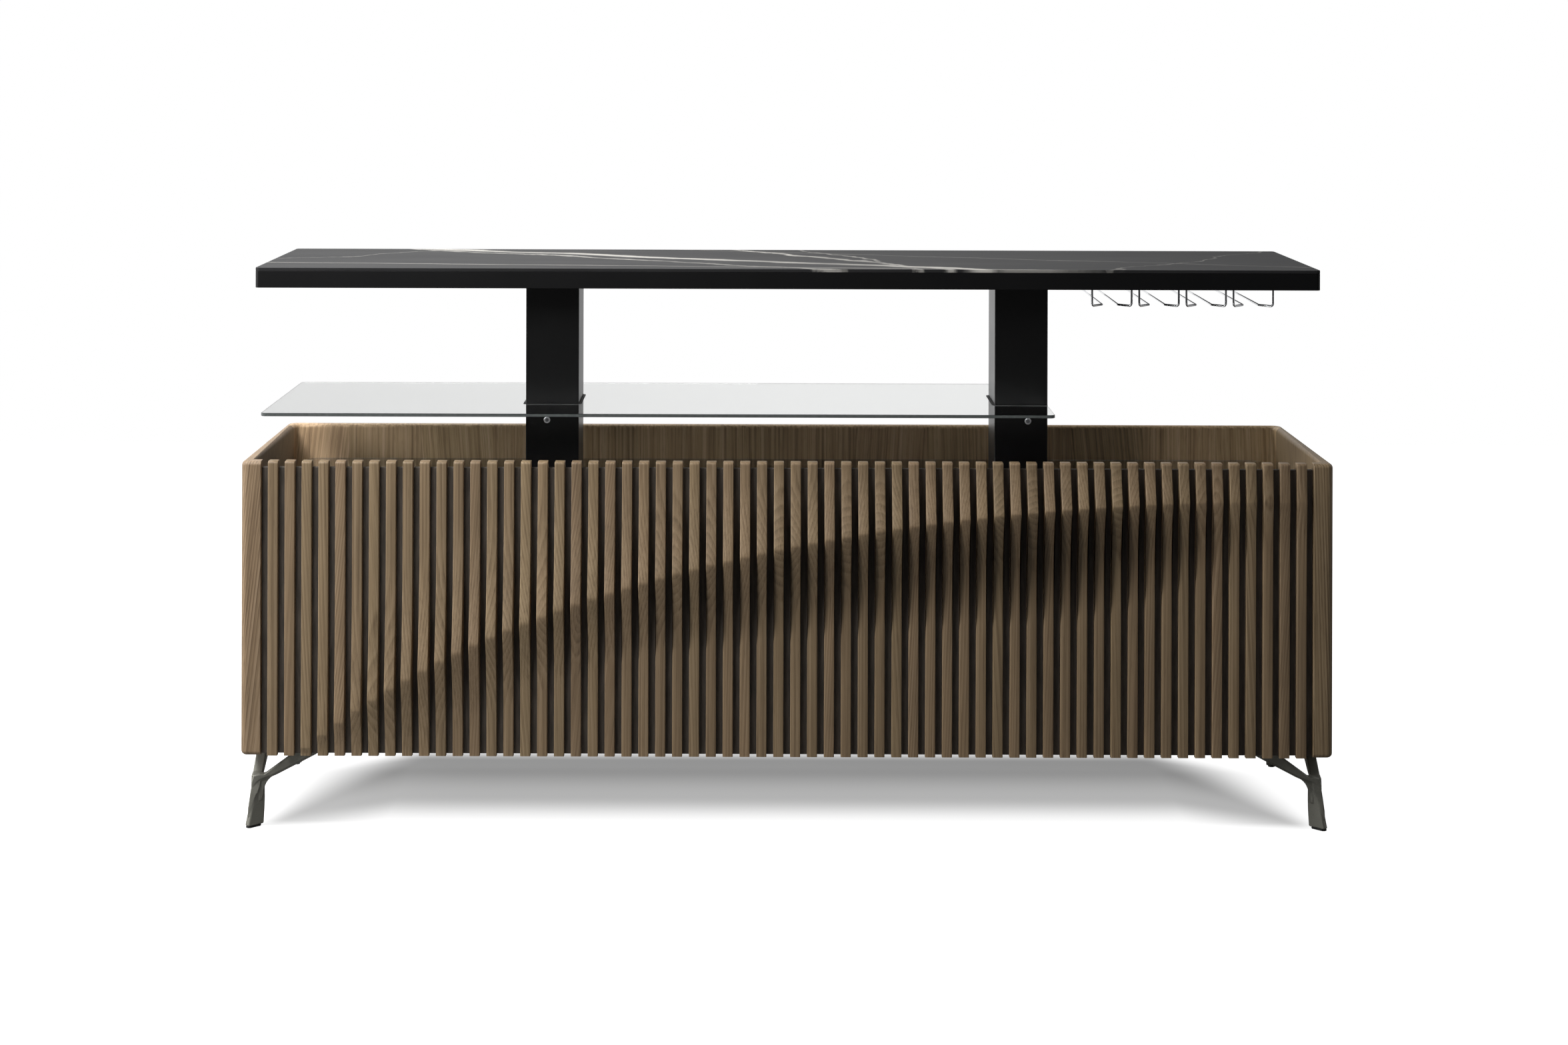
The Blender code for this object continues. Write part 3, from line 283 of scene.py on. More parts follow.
def add_box(name, low, high):
    """A block between two corners, with its place in its mesh."""
    deselect_all()
    low = Vector(low)
    high = Vector(high)
    bpy.ops.mesh.primitive_cube_add(size=1.0, location=(low + high) / 2, scale=high - low)
    bpy.ops.object.transform_apply(location=True, rotation=True, scale=True)
    return name_piece(bpy.context.active_object, name)


def pick(piece, kind, test):
    """Enter edit mode and select the edges or faces that pass a test."""
    work_on(piece)
    bpy.ops.object.mode_set(mode="EDIT")
    bpy.ops.mesh.select_mode(type=kind)
    bpy.ops.mesh.select_all(action="DESELECT")
    mesh = bmesh.from_edit_mesh(piece.data)
    found = 0
    for part in mesh.edges if kind == "EDGE" else mesh.faces:
        if kind == "EDGE":
            chosen = test(part.verts[0].co, part.verts[1].co)
        else:
            chosen = test(part.calc_center_median(), part.normal)
        if chosen:
            part.select_set(True)
            found += 1
    bmesh.update_edit_mesh(piece.data)
    if found == 0:
        raise RuntimeError("nothing to work on in " + piece.name)


def near(value, target):
    return abs(value - target) < 0.00002


def at(**places):
    """A test for edges that lie, from end to end, at some coordinates."""
    def test(*ends):
        return all(near(getattr(end, axis), place) for end in ends for axis, place in places.items())
    return test


def rims(outside, *heights):
    """A test for level edges at some heights, both of whose ends lie on the outside."""
    def test(a, b):
        return outside(a) and outside(b) and any(at(z=height)(a, b) for height in heights)
    return test


def upright(a, b):
    return near(a.x, b.x) and near(a.y, b.y)


def round_edges(piece, test, radius, segments):
    pick(piece, "EDGE", test)
    bpy.ops.mesh.bevel(
        offset=radius, offset_type="OFFSET", segments=segments, profile=0.5, affect="EDGES",
        clamp_overlap=True)
    leave_edit()


def extrude_faces(piece, test, offset):
    pick(piece, "FACE", test)
    bpy.ops.mesh.extrude_region_move(TRANSFORM_OT_translate={"value": offset})
    leave_edit()


def cut_at(piece, places, normal):
    """Cut loops across a piece, one through each place, square to a direction."""
    work_on(piece)
    bpy.ops.object.mode_set(mode="EDIT")
    for place in places:
        bpy.ops.mesh.select_all(action="SELECT")
        bpy.ops.mesh.bisect(plane_co=place, plane_no=normal)
    leave_edit()


def merge_flat(piece):
    """Join the faces that lie in one plane."""
    edit_all(piece)
    bpy.ops.mesh.dissolve_limited(angle_limit=math.radians(0.1))
    leave_edit()


def turn_faces_out(piece):
    edit_all(piece)
    bpy.ops.mesh.remove_doubles(threshold=0.00001)
    bpy.ops.mesh.normals_make_consistent(inside=False)
    leave_edit()


def apply_modifier(piece, kind, settings):
    work_on(piece)
    modifier = piece.modifiers.new(kind.lower(), kind)
    for name, value in settings.items():
        setattr(modifier, name, value)
    bpy.ops.object.modifier_apply(modifier=modifier.name)


def ease_edges(piece, width, segments=2, angle=40):
    """A fine bevel on every edge sharper than an angle."""
    settings = {
        "width": width,
        "segments": segments,
        "limit_method": "ANGLE",
        "angle_limit": math.radians(angle),
        "use_clamp_overlap": True,
    }
    apply_modifier(piece, "BEVEL", settings)


def cut_out(piece, cutter):
    """Cut one piece by another and remove the cutter."""
    apply_modifier(piece, "BOOLEAN", {"operation": "DIFFERENCE", "solver": "EXACT", "object": cutter})
    bpy.data.objects.remove(cutter, do_unlink=True)


def rounded_plate(name, low, high, radius, segments=8):
    """A flat plate with its four upright corners rounded."""
    plate = add_box(name, low, high)
    round_edges(plate, upright, radius, segments)
    return plate


def copy_piece(source, name):
    piece = source.copy()
    piece.data = source.data.copy()
    bpy.context.scene.collection.objects.link(piece)
    return name_piece(piece, name)


def mirrored_copy(source, name, x=False, y=False):
    """A copy mirrored left to right, or front to back about the case's middle."""
    piece = copy_piece(source, name)
    for vertex in piece.data.vertices:
        if x:
            vertex.co.x = -vertex.co.x
        if y:
            vertex.co.y = 2 * MIDDLE_Y - vertex.co.y
    turn_faces_out(piece)
    return piece


def loft(name, rings):
    """A closed skin through rings of as many points each, made by extruding its end face."""
    deselect_all()
    bpy.ops.mesh.primitive_circle_add(vertices=len(rings[0]), radius=0.01, fill_type="NGON")
    piece = name_piece(bpy.context.active_object, name)
    for vertex, place in zip(piece.data.vertices, rings[0]):
        vertex.co = place
    bpy.ops.object.mode_set(mode="EDIT")
    bpy.ops.mesh.select_mode(type="FACE")
    bpy.ops.mesh.select_all(action="SELECT")
    for before, after in zip(rings, rings[1:]):
        bpy.ops.mesh.extrude_region_move()
        mesh = bmesh.from_edit_mesh(piece.data)
        free = list(range(len(before)))
        for vertex in mesh.verts:
            if vertex.select:
                index = min(free, key=lambda i: (before[i] - vertex.co).length)
                free.remove(index)
                vertex.co = after[index]
        bmesh.update_edit_mesh(piece.data)
    leave_edit()
    turn_faces_out(piece)
    return piece


def join_pieces(pieces, name):
    work_on(pieces[0])
    for piece in pieces[1:]:
        piece.select_set(True)
    bpy.ops.object.join()
    return name_piece(pieces[0], name)


def finish_piece(piece, names, body, stands_for=(), angle=35, weighted=True):
    """Give a piece its finishes and shading, and set it on its body."""
    piece.data.materials.clear()
    for name in names:
        piece.data.materials.append(finish(name))
    work_on(piece)
    bpy.ops.object.shade_smooth_by_angle(angle=math.radians(angle))
    if weighted:
        apply_modifier(piece, "WEIGHTED_NORMAL", {"keep_sharp": True, "weight": 50})
    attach(piece, body)
    if stands_for:
        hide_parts(*stands_for)


def give_second_finish(piece, test):
    for face in piece.data.polygons:
        face.material_index = int(test(face))


def dress_node(node, name, finish_name, body, width=0.0004, segments=2, angle=40):
    """Stand for a construction node with a merged copy, its flat faces joined and its edges eased."""
    piece = copy_piece(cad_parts[node], name)
    piece.parent = None
    for key in list(piece.keys()):
        del piece[key]
    edit_all(piece)
    bpy.ops.mesh.remove_doubles(threshold=0.00002)
    bpy.ops.mesh.dissolve_limited(angle_limit=math.radians(0.5))
    leave_edit()
    ease_edges(piece, width, segments, angle)
    finish_piece(piece, [finish_name], body, (node,))


# Materials

def wire(node, sockets):
    """Set sockets to values, or link them from another node's socket or a node's first one."""
    for name, source in sockets.items():
        if isinstance(source, Node):
            source = source.outputs[0]
        if isinstance(source, NodeSocket):
            node.id_data.links.new(source, node.inputs[name])
        else:
            node.inputs[name].default_value = source


def add_node(tree, kind, sockets, stops=(), **settings):
    """Add a shader node with its settings, its sockets and, on a ramp, its colour stops."""
    node = tree.nodes.new("ShaderNode" + kind)
    for name, value in settings.items():
        setattr(node, name, value)
    wire(node, sockets)
    if stops:
        ends = (stops[0], stops[-1])
        for element, (place, colour) in zip(node.color_ramp.elements, ends):
            element.position = place
            element.color = colour
        for place, colour in stops[1:-1]:
            node.color_ramp.elements.new(place).color = colour
    return node


def new_material(name, sockets):
    """A material, its Principled shader and the place on the object that its pattern reads."""
    material = bpy.data.materials.new(name)
    material.use_nodes = True
    tree = material.node_tree
    shader = tree.nodes["Principled BSDF"]
    wire(shader, sockets)
    return material, tree, shader, add_node(tree, "TexCoord", {}).outputs["Object"]


def finishes():
    return bpy.context.scene.sideboard_finishes


def toned(colour, factor=1.0):
    """A colour made lighter or darker, with its alpha."""
    return (*(min(channel * factor, 1.0) for channel in colour), 1.0)


def grey(value):
    return (value, value, value, 1.0)


def per_metre(width_mm):
    """Noise scale whose features are about so many millimetres wide."""
    return 1000.0 / (2.0 * width_mm)


def smoked_oak(name, width, first, contrast, brightness, grain_mm=1.6, figure=0.42):
    """Smoked oak under matt lacquer, sawn and sanded: upright grain, each board cut from another
    part of the log, so that its rings, tone and slant differ from its neighbour's."""
    colours = finishes()
    # A wave texture's rings are pi / 10 m apart at scale 1
    ring_mm = 4.62
    material, tree, shader, place = new_material(name, {"Roughness": 0.52, "IOR": 1.5})

    # Each board of a row has its own chance values and its own place in the log
    spot = add_node(tree, "SeparateXYZ", {0: place})
    shifted = add_node(tree, "Math", {0: spot.outputs["X"], 1: first}, operation="SUBTRACT")
    boards = add_node(tree, "Math", {0: shifted, 1: width}, operation="DIVIDE")
    index = add_node(tree, "Math", {0: boards}, operation="FLOOR")
    local = add_node(tree, "Math", {0: boards, 1: index}, operation="SUBTRACT")
    chance = add_node(tree, "TexWhiteNoise", {"W": index}, noise_dimensions="1D")
    parts = add_node(tree, "SeparateColor", {"Color": chance.outputs["Color"]})
    pith = add_node(
        tree, "MapRange", {"Value": parts.outputs["Blue"], "To Min": -0.11, "To Max": 0.11})
    depth = add_node(tree, "MapRange", {"Value": chance, "To Min": 0.26, "To Max": 0.36})
    log_y = add_node(tree, "Math", {0: spot.outputs["Y"], 1: depth}, operation="ADD")
    log_z = add_node(
        tree, "Math", {0: parts.outputs["Green"], 1: 3.0, 2: spot.outputs["Z"]},
        operation="MULTIPLY_ADD")

    # The tilt of the log leans the rings over, mostly a little and now and then a lot
    tilt = add_node(tree, "MapRange", {"Value": parts.outputs["Red"], "To Min": -1.0})
    steep = add_node(tree, "Math", {0: tilt, 1: 3.0}, operation="POWER")
    lean = add_node(tree, "Math", {0: steep, 1: 0.12}, operation="MULTIPLY")
    local_x = add_node(tree, "Math", {0: local, 1: width, 2: pith}, operation="MULTIPLY_ADD")
    log_x = add_node(
        tree, "Math", {0: lean, 1: spot.outputs["Z"], 2: local_x}, operation="MULTIPLY_ADD")
    log = add_node(tree, "CombineXYZ", {"X": log_x, "Y": log_y, "Z": log_z})

    # All of it is drawn out along the log: fibre streaks the most, then rings and pores, then
    # clouds. Fibres and pores are drawn a little coarse so that they show.
    fibre_place, ring_place, cloud_place = (
        add_node(tree, "Mapping", {"Vector": log, "Scale": (1.0, 1.0, share)})
        for share in (0.011, 0.035, 0.16))
    rings = add_node(
        tree, "TexWave",
        {"Vector": ring_place, "Scale": 100 * math.pi / ring_mm, "Distortion": 4.0, "Detail": 3.0,
         "Detail Scale": 0.30, "Detail Roughness": 0.55},
        wave_type="RINGS", rings_direction="Z", wave_profile="SAW")
    fibre = add_node(
        tree, "TexNoise",
        {"Vector": fibre_place, "Scale": per_metre(grain_mm), "Detail": 4.0, "Roughness": 0.60})
    pores = add_node(
        tree, "TexNoise", {"Vector": ring_place, "Scale": per_metre(0.6), "Detail": 1.0})
    pore_mask = add_node(
        tree, "MapRange",
        {"Value": pores, "From Min": 0.60, "From Max": 0.74, "To Max": 0.45 * contrast})
    cloud = add_node(
        tree, "TexNoise", {"Vector": cloud_place, "Scale": per_metre(14.0), "Detail": 3.0})
    grain = add_node(
        tree, "MapRange",
        {"Value": fibre, "From Min": 0.25, "From Max": 0.75, "To Min": 0.5 - contrast / 2,
         "To Max": 0.5 + contrast / 2})
    late = add_node(
        tree, "ValToRGB", {"Fac": rings.outputs["Fac"]},
        ((0.0, grey(0.5 + contrast * 0.35)), (0.80, grey(0.5 - contrast * 0.55)),
         (0.97, grey(0.5 + contrast * 0.25))))
    wood = add_node(tree, "Mix", {"Factor": figure, "A": grain, "B": late})
    colour = add_node(
        tree, "ValToRGB", {"Fac": wood},
        ((0.12, toned(colours.oak_dark)), (0.50, toned(colours.oak)),
         (0.88, toned(colours.oak_light))))
    tone = add_node(
        tree, "MapRange",
        {"Value": parts.outputs["Green"], "To Min": 0.90 * brightness, "To Max": 1.08 * brightness})
    patch = add_node(
        tree, "MapRange",
        {"Value": cloud, "From Min": 0.25, "From Max": 0.75, "To Min": 1.0 - figure * 0.28,
         "To Max": 1.0 + figure * 0.28})
    strength = add_node(tree, "Math", {0: tone, 1: patch}, operation="MULTIPLY")
    hue = add_node(tree, "MapRange", {"Value": chance, "To Min": 0.495, "To Max": 0.503})
    varied = add_node(
        tree, "HueSaturation",
        {"Hue": hue, "Saturation": 0.94, "Value": strength, "Color": colour})
    pored = add_node(
        tree, "Mix", {"Factor": pore_mask, "A": varied, "B": toned(colours.oak_pores)},
        data_type="RGBA", blend_type="MULTIPLY")
    rough = add_node(tree, "MapRange", {"Value": wood, "To Min": 0.46, "To Max": 0.60})
    bump = add_node(tree, "Bump", {"Height": wood, "Strength": 0.15, "Distance": 0.0005})
    wire(shader, {"Base Color": pored.outputs[2], "Roughness": rough, "Normal": bump})
    return material


def slat_oak(name):
    """The front's oak: a piece of its own for each slat, with quiet grain."""
    sizes = bpy.context.scene.sideboard_sizes
    first, pitch = slat_pitch(sizes)
    return smoked_oak(name, pitch, first - (pitch - sizes.slat_width) / 2, 0.55, 1.0)


def speckled(name, colour, roughness, metallic, grain_mm, depth_mm, spread, shine, extra=()):
    """A surface with an even fine texture: its tone, gloss and height vary with one noise."""
    body = getattr(finishes(), colour)
    material, tree, shader, place = new_material(
        name, {"Roughness": roughness, "Metallic": metallic, **dict(extra)})
    fine = add_node(tree, "TexNoise", {"Vector": place, "Scale": per_metre(grain_mm), "Detail": 3.0})
    broad = add_node(
        tree, "TexNoise", {"Vector": place, "Scale": per_metre(grain_mm * 40), "Detail": 2.0})
    blend = add_node(tree, "Mix", {"Factor": 0.5, "A": fine, "B": broad})
    tone = add_node(
        tree, "ValToRGB", {"Fac": blend}, ((0.3, toned(body, 1 - spread)), (0.7, toned(body, 1 + spread))))
    gloss = add_node(
        tree, "MapRange",
        {"Value": blend, "From Min": 0.3, "From Max": 0.7, "To Min": roughness - shine / 2,
         "To Max": roughness + shine / 2})
    bump = add_node(tree, "Bump", {"Height": fine, "Strength": 0.5, "Distance": depth_mm / 1000})
    wire(shader, {"Base Color": tone, "Roughness": gloss, "Normal": bump})
    return material


def stained_board(name):
    """Black-brown stained board, rolled on: matt, with faint upright roller streaks."""
    colour = finishes().front_board
    material, tree, shader, place = new_material(name, {"Roughness": 0.72, "IOR": 1.45})
    drawn_out = add_node(tree, "Mapping", {"Vector": place, "Scale": (1.0, 1.0, 0.10)})
    streak = add_node(tree, "TexNoise", {"Vector": drawn_out, "Scale": per_metre(3.0), "Detail": 3.0})
    tone = add_node(
        tree, "ValToRGB", {"Fac": streak}, ((0.3, toned(colour, 0.7)), (0.7, toned(colour, 1.35))))
    bump = add_node(tree, "Bump", {"Height": streak, "Strength": 0.3, "Distance": 0.0003})
    wire(shader, {"Base Color": tone, "Normal": bump})
    return material


def float_glass(name):
    """Clear float glass: a faint grey tint, deepest at its left end, and a few smears of dust."""
    material, tree, shader, place = new_material(
        name, {"Roughness": 0.0, "IOR": 1.5, "Transmission Weight": 1.0})
    haze = add_node(tree, "TexNoise", {"Vector": place, "Scale": per_metre(60.0), "Detail": 3.0})
    parts = add_node(tree, "SeparateXYZ", {0: place})
    along = add_node(
        tree, "MapRange",
        {"Value": parts.outputs["X"], "From Min": -1.1, "From Max": 0.2, "To Max": 0.8},
        interpolation_type="SMOOTHSTEP")
    cloudy = add_node(tree, "Math", {0: haze, 1: 0.2, 2: along}, operation="MULTIPLY_ADD")
    tint = add_node(
        tree, "ValToRGB", {"Fac": cloudy}, ((0.0, toned(srgb("babcbb"))), (1.0, toned(srgb("dadcdb")))))
    smear = add_node(tree, "MapRange", {"Value": haze, "From Min": 0.3, "From Max": 0.8, "To Max": 0.04})
    wire(shader, {"Base Color": tint, "Roughness": smear})
    return material


def ground_edge(name):
    """The ground rim of the glass: greyer than its faces, because it scatters the light."""
    material, tree, shader, place = new_material(
        name, {"Roughness": 0.30, "IOR": 1.5, "Transmission Weight": 0.5})
    grit = add_node(tree, "TexNoise", {"Vector": place, "Scale": per_metre(4.0), "Detail": 3.0})
    tint = add_node(
        tree, "ValToRGB", {"Fac": grit}, ((0.0, toned(srgb("666c6b"))), (1.0, toned(srgb("838988")))))
    wire(shader, {"Base Color": tint})
    return material


def veined_ceramic(name):
    """Honed black sintered stone: a dark ground with pale branching veins and faint clouds."""
    colours = finishes()
    material, tree, shader, place = new_material(
        name, {"Roughness": 0.72, "IOR": 1.36, "Specular IOR Level": 0.34})
    parts = add_node(tree, "SeparateXYZ", {0: place})
    drift = add_node(
        tree, "TexNoise",
        {"Vector": place, "Scale": per_metre(111.11), "Detail": 7.0, "Roughness": 0.58})
    sway = add_node(tree, "Math", {0: drift, 1: 0.5}, operation="SUBTRACT")
    bedded = add_node(tree, "Mapping", {"Vector": place, "Scale": (0.3, 1.0, 1.0)})
    thin = add_node(tree, "TexNoise", {"Vector": bedded, "Scale": per_metre(45.45), "Detail": 4.0})
    broken = add_node(
        tree, "MapRange", {"Value": thin, "From Min": 0.38, "From Max": 0.60, "To Min": 0.45})
    veins = 0.0
    for (middle, slope), width, strength, wander in VEINS:
        along = add_node(
            tree, "Math", {0: parts.outputs["Y"], 1: -slope, 2: -middle}, operation="MULTIPLY_ADD")
        straight = add_node(tree, "Math", {0: parts.outputs["X"], 1: along}, operation="ADD")
        swung = add_node(
            tree, "Math", {0: sway, 1: wander * VEIN_SWAY, 2: straight}, operation="MULTIPLY_ADD")
        away = add_node(tree, "Math", {0: swung}, operation="ABSOLUTE")
        reach = width * math.hypot(1.0, slope)
        line = add_node(
            tree, "MapRange",
            {"Value": away, "From Min": reach * 3.0, "From Max": reach * 0.3, "To Max": strength},
            interpolation_type="SMOOTHSTEP")
        part = add_node(tree, "Math", {0: line, 1: broken}, operation="MULTIPLY")
        veins = add_node(tree, "Math", {0: veins, 1: part}, operation="MAXIMUM")
    cloud = add_node(
        tree, "TexNoise",
        {"Vector": bedded, "Scale": per_metre(55.56), "Detail": 6.0, "Roughness": 0.6})
    ground = add_node(
        tree, "ValToRGB", {"Fac": cloud},
        ((0.35, toned(colours.ceramic, 0.8)), (0.75, toned(colours.ceramic, 1.35))))
    veined = add_node(
        tree, "Mix", {"Factor": veins, "A": ground, "B": toned(colours.vein)}, data_type="RGBA")
    rough = add_node(
        tree, "MapRange",
        {"Value": cloud, "From Min": 0.3, "From Max": 0.7, "To Min": 0.64, "To Max": 0.76})
    bump = add_node(tree, "Bump", {"Height": thin, "Strength": 0.2, "Distance": 0.0002})
    wire(shader, {"Base Color": veined.outputs[2], "Roughness": rough, "Normal": bump})
    return material


FINISHES = {
    "smoked_oak_slats": (slat_oak,),
    # A board's width and the first board's edge, contrast and brightness of the grain; the back's
    # inner face has broader and straighter grain, and is made paler as painted light on the rear wall
    "smoked_oak_boards": (smoked_oak, 0.145, -1.6, 0.85, 1.0),
    "smoked_oak_back": (smoked_oak, 0.145, -1.6, 0.80, 1.85, 2.2, 0.22),
    "black_stained_board": (stained_board,),
    "black_veined_ceramic": (veined_ceramic,),
    "clear_float_glass": (float_glass,),
    "ground_glass_edge": (ground_edge,),
    # Fine textures: colour, roughness, metallic, grain and its depth in mm, spread of tone and of
    # gloss. Each grain is drawn about as coarse as it has to be to show.
    # Sand-cast and blackened: dull metal with a fine skin that catches light at its edges
    "cast_gunmetal": (speckled, "leg", 0.50, 0.45, 0.9, 0.20, 0.18, 0.12),
    # Black powder coat on steel: satin, with a fine even orange peel
    "black_powder_coat": (speckled, "coat", 0.34, 0.0, 0.9, 0.04, 0.10, 0.06, {"IOR": 1.5}),
    # Black lacquer over board: smooth, satin, almost no texture
    "black_satin_lacquer": (
        speckled, "lacquer", 0.50, 0.0, 1.4, 0.04, 0.12, 0.08,
        {"IOR": 1.45, "Specular IOR Level": 0.25}),
    # Spark-textured black housing plastic
    "black_moulded_plastic": (speckled, "housing", 0.52, 0.0, 0.5, 0.08, 0.12, 0.10, {"IOR": 1.53}),
    # Hard black polyethylene, scuffed where it slides
    "black_glide_plastic": (speckled, "glide", 0.60, 0.0, 0.8, 0.10, 0.25, 0.14, {"IOR": 1.5}),
    # Extruded rubber trim: matt, slightly dusty black
    "black_rubber_trim": (speckled, "rubber", 0.66, 0.0, 0.6, 0.05, 0.20, 0.10, {"IOR": 1.52}),
    # Zinc-plated steel: pale grey with a faint cloudy bloom
    "zinc_plated_steel": (speckled, "steel", 0.36, 1.0, 1.2, 0.03, 0.10, 0.14),
    # Machined acetal: milky white and slightly waxy
    "white_acetal": (speckled, "acetal", 0.44, 0.0, 1.0, 0.03, 0.04, 0.10, {"IOR": 1.48}),
    # Polished chrome plate: a mirror with the faintest haze
    "polished_chrome": (speckled, "chrome", 0.06, 1.0, 3.0, 0.005, 0.03, 0.04),
    # The turned end of a chrome rod: fine tool marks make it a satin ring
    "turned_chrome_end": (speckled, "chrome", 0.34, 1.0, 0.8, 0.02, 0.08, 0.10),
}


def finish(name):
    """A finish by its name, made the first time that it is asked for."""
    recipe, *values = FINISHES[name]
    return bpy.data.materials.get(name) or recipe(name, *values)


# The slatted front

def slat_pitch(sizes):
    """The first slat's left edge, and the step from slat to slat."""
    opening = 2 * HALF - 2 * STILE_WIDTH
    gap = (opening - sizes.slat_count * sizes.slat_width) / (sizes.slat_count + 1)
    return -opening / 2 + gap, sizes.slat_width + gap


def within(value):
    return min(max(value, 0.0), 1.0)


def crest_height(x):
    run = within((CREST_FLAT_X - x) / CREST_RUN)
    return max(CREST_TOP - CREST_FALL * run ** 2 - CREST_HOOK * run ** 7, CREST_LOWEST)


def crest_reach(x, relief):
    """How far the crest stands out of the front plane."""
    if x <= CREST_LEFT_X:
        return 0.0
    if x < CREST_FULL_X:
        left = (CREST_FULL_X - x) / (CREST_FULL_X - CREST_LEFT_X)
        return relief * (1 - left ** 1.35)
    right = within((x - CREST_FADE_X) / (CREST_RIGHT_X - CREST_FADE_X))
    fade = 0.5 + 0.5 * math.cos(math.pi * right)
    return relief * (CREST_FADE_SHARE + (1 - CREST_FADE_SHARE) * fade)


def softened(away):
    """Distance from the crest, with the crest itself sanded round."""
    return math.hypot(away, CREST_SOFT) - CREST_SOFT


def relief_line(x, relief):
    """The milled face at x, bottom to top, as (reach out of the front plane, height)."""
    crest = crest_height(x)
    reach = crest_reach(x, relief)
    across = (x + HALF) / (2 * HALF)
    shoulder = CASE_HEIGHT - SLAT_SHOULDER
    below = min(SLOPE_BELOW_LEFT + (SLOPE_BELOW_RIGHT - SLOPE_BELOW_LEFT) * across, crest * 0.96)
    above = min(SLOPE_ABOVE, (shoulder - crest) * 0.96)
    hollow_above = 1.3 + 0.9 * within((above - SLOPE_ABOVE_LEAST) / (SLOPE_ABOVE - SLOPE_ABOVE_LEAST))
    hollow_below = 1.5 + 0.5 * across
    line = [(0.0, 0.0)]
    for row in range(-ROWS_BELOW, ROWS_ABOVE + 1):
        slope, rows, hollow = (
            (above, ROWS_ABOVE, hollow_above) if row > 0 else (below, ROWS_BELOW, hollow_below))
        away = slope * (abs(row) / rows) ** ROW_CROWDING
        share = softened(away) / softened(slope)
        line.append((reach * (1 - share) ** hollow, crest + math.copysign(away, row)))
    line.append((0.0, shoulder))
    return line


class SIDEBOARD_OT_slats(Operator):
    """Mill each slat's face to the relief, from one blank with rounded edges"""
    bl_idname = "sideboard.slats"
    bl_label = "Slats"

    def execute(self, context):
        sizes = context.scene.sideboard_sizes
        rows = len(relief_line(0.0, sizes.relief))
        step = BOARD_TOP / (rows - 1)
        blank = self.make_blank(sizes, rows, step)
        first, pitch = slat_pitch(sizes)
        for number in range(sizes.slat_count):
            slat = copy_piece(blank, "slat_{:02d}".format(number + 1))
            self.mill(slat, first + number * pitch, rows, step, sizes)
            finish_piece(slat, ["smoked_oak_slats"], "case", ("slatted_front",), 50, False)
        bpy.data.objects.remove(blank, do_unlink=True)
        return {"FINISHED"}

    def make_blank(self, sizes, rows, step):
        """A square slat with a cut for each row of the relief, a tail over the board and soft edges."""
        width = sizes.slat_width
        blank = add_box("slat_blank", (0.0, 0.0, 0.0), (width, BOARD_SETBACK, CASE_HEIGHT))
        cut_at(blank, [(0.0, 0.0, row * step) for row in range(1, rows)], (0.0, 0.0, 1.0))

        def tail(centre, normal):
            return normal.y > 0.9 and centre.z > BOARD_TOP

        extrude_faces(blank, tail, (0.0, SLAT_TAIL - BOARD_SETBACK, 0.0))
        round_edges(blank, at(y=0.0, z=CASE_HEIGHT), SLAT_TOP_RADIUS, 4)

        def long_edge(a, b):
            side = near(a.x, b.x) and (near(a.x, 0.0) or near(a.x, width))
            top = min(a.z, b.z) > CASE_HEIGHT - SLAT_TOP_RADIUS - 0.0001
            inner = a.y > 0.0001 and b.y > 0.0001 and not near(a.z, CASE_HEIGHT)
            return side and (at(y=0.0)(a, b) or (top and not (inner and near(a.y, b.y))))

        round_edges(blank, long_edge, sizes.slat_edge, 3)
        return blank

    def mill(self, slat, left, rows, step, sizes):
        """Move each row of the front to the relief's line at the slat's middle."""
        line = relief_line(left + sizes.slat_width / 2, sizes.relief)
        for vertex in slat.data.vertices:
            row = min(int(round(vertex.co.z / step)), rows - 1)
            if vertex.co.y < BOARD_SETBACK * 0.5 and vertex.co.z < BOARD_TOP + 0.0001:
                reach, height = line[row]
                vertex.co.y -= reach
                vertex.co.z = height
            vertex.co.x += left
            vertex.co.y += FRONT
            vertex.co.z += LEG_HEIGHT


class SIDEBOARD_OT_front_board(Operator):
    """Make the black board behind the slats"""
    bl_idname = "sideboard.front_board"
    bl_label = "Front board"

    def execute(self, context):
        half = HALF - STILE_WIDTH - SEAM
        low = (-half, FRONT + BOARD_SETBACK, LEG_HEIGHT + BOARD_LIFT)
        high = (half, FRONT + BOARD_SETBACK + BOARD_THICK, LEG_HEIGHT + BOARD_TOP)
        board = add_box("front_board", low, high)
        ease_edges(board, PANEL_EASE)
        finish_piece(board, ["black_stained_board"], "case", ("slatted_front",))
        return {"FINISHED"}


# The case

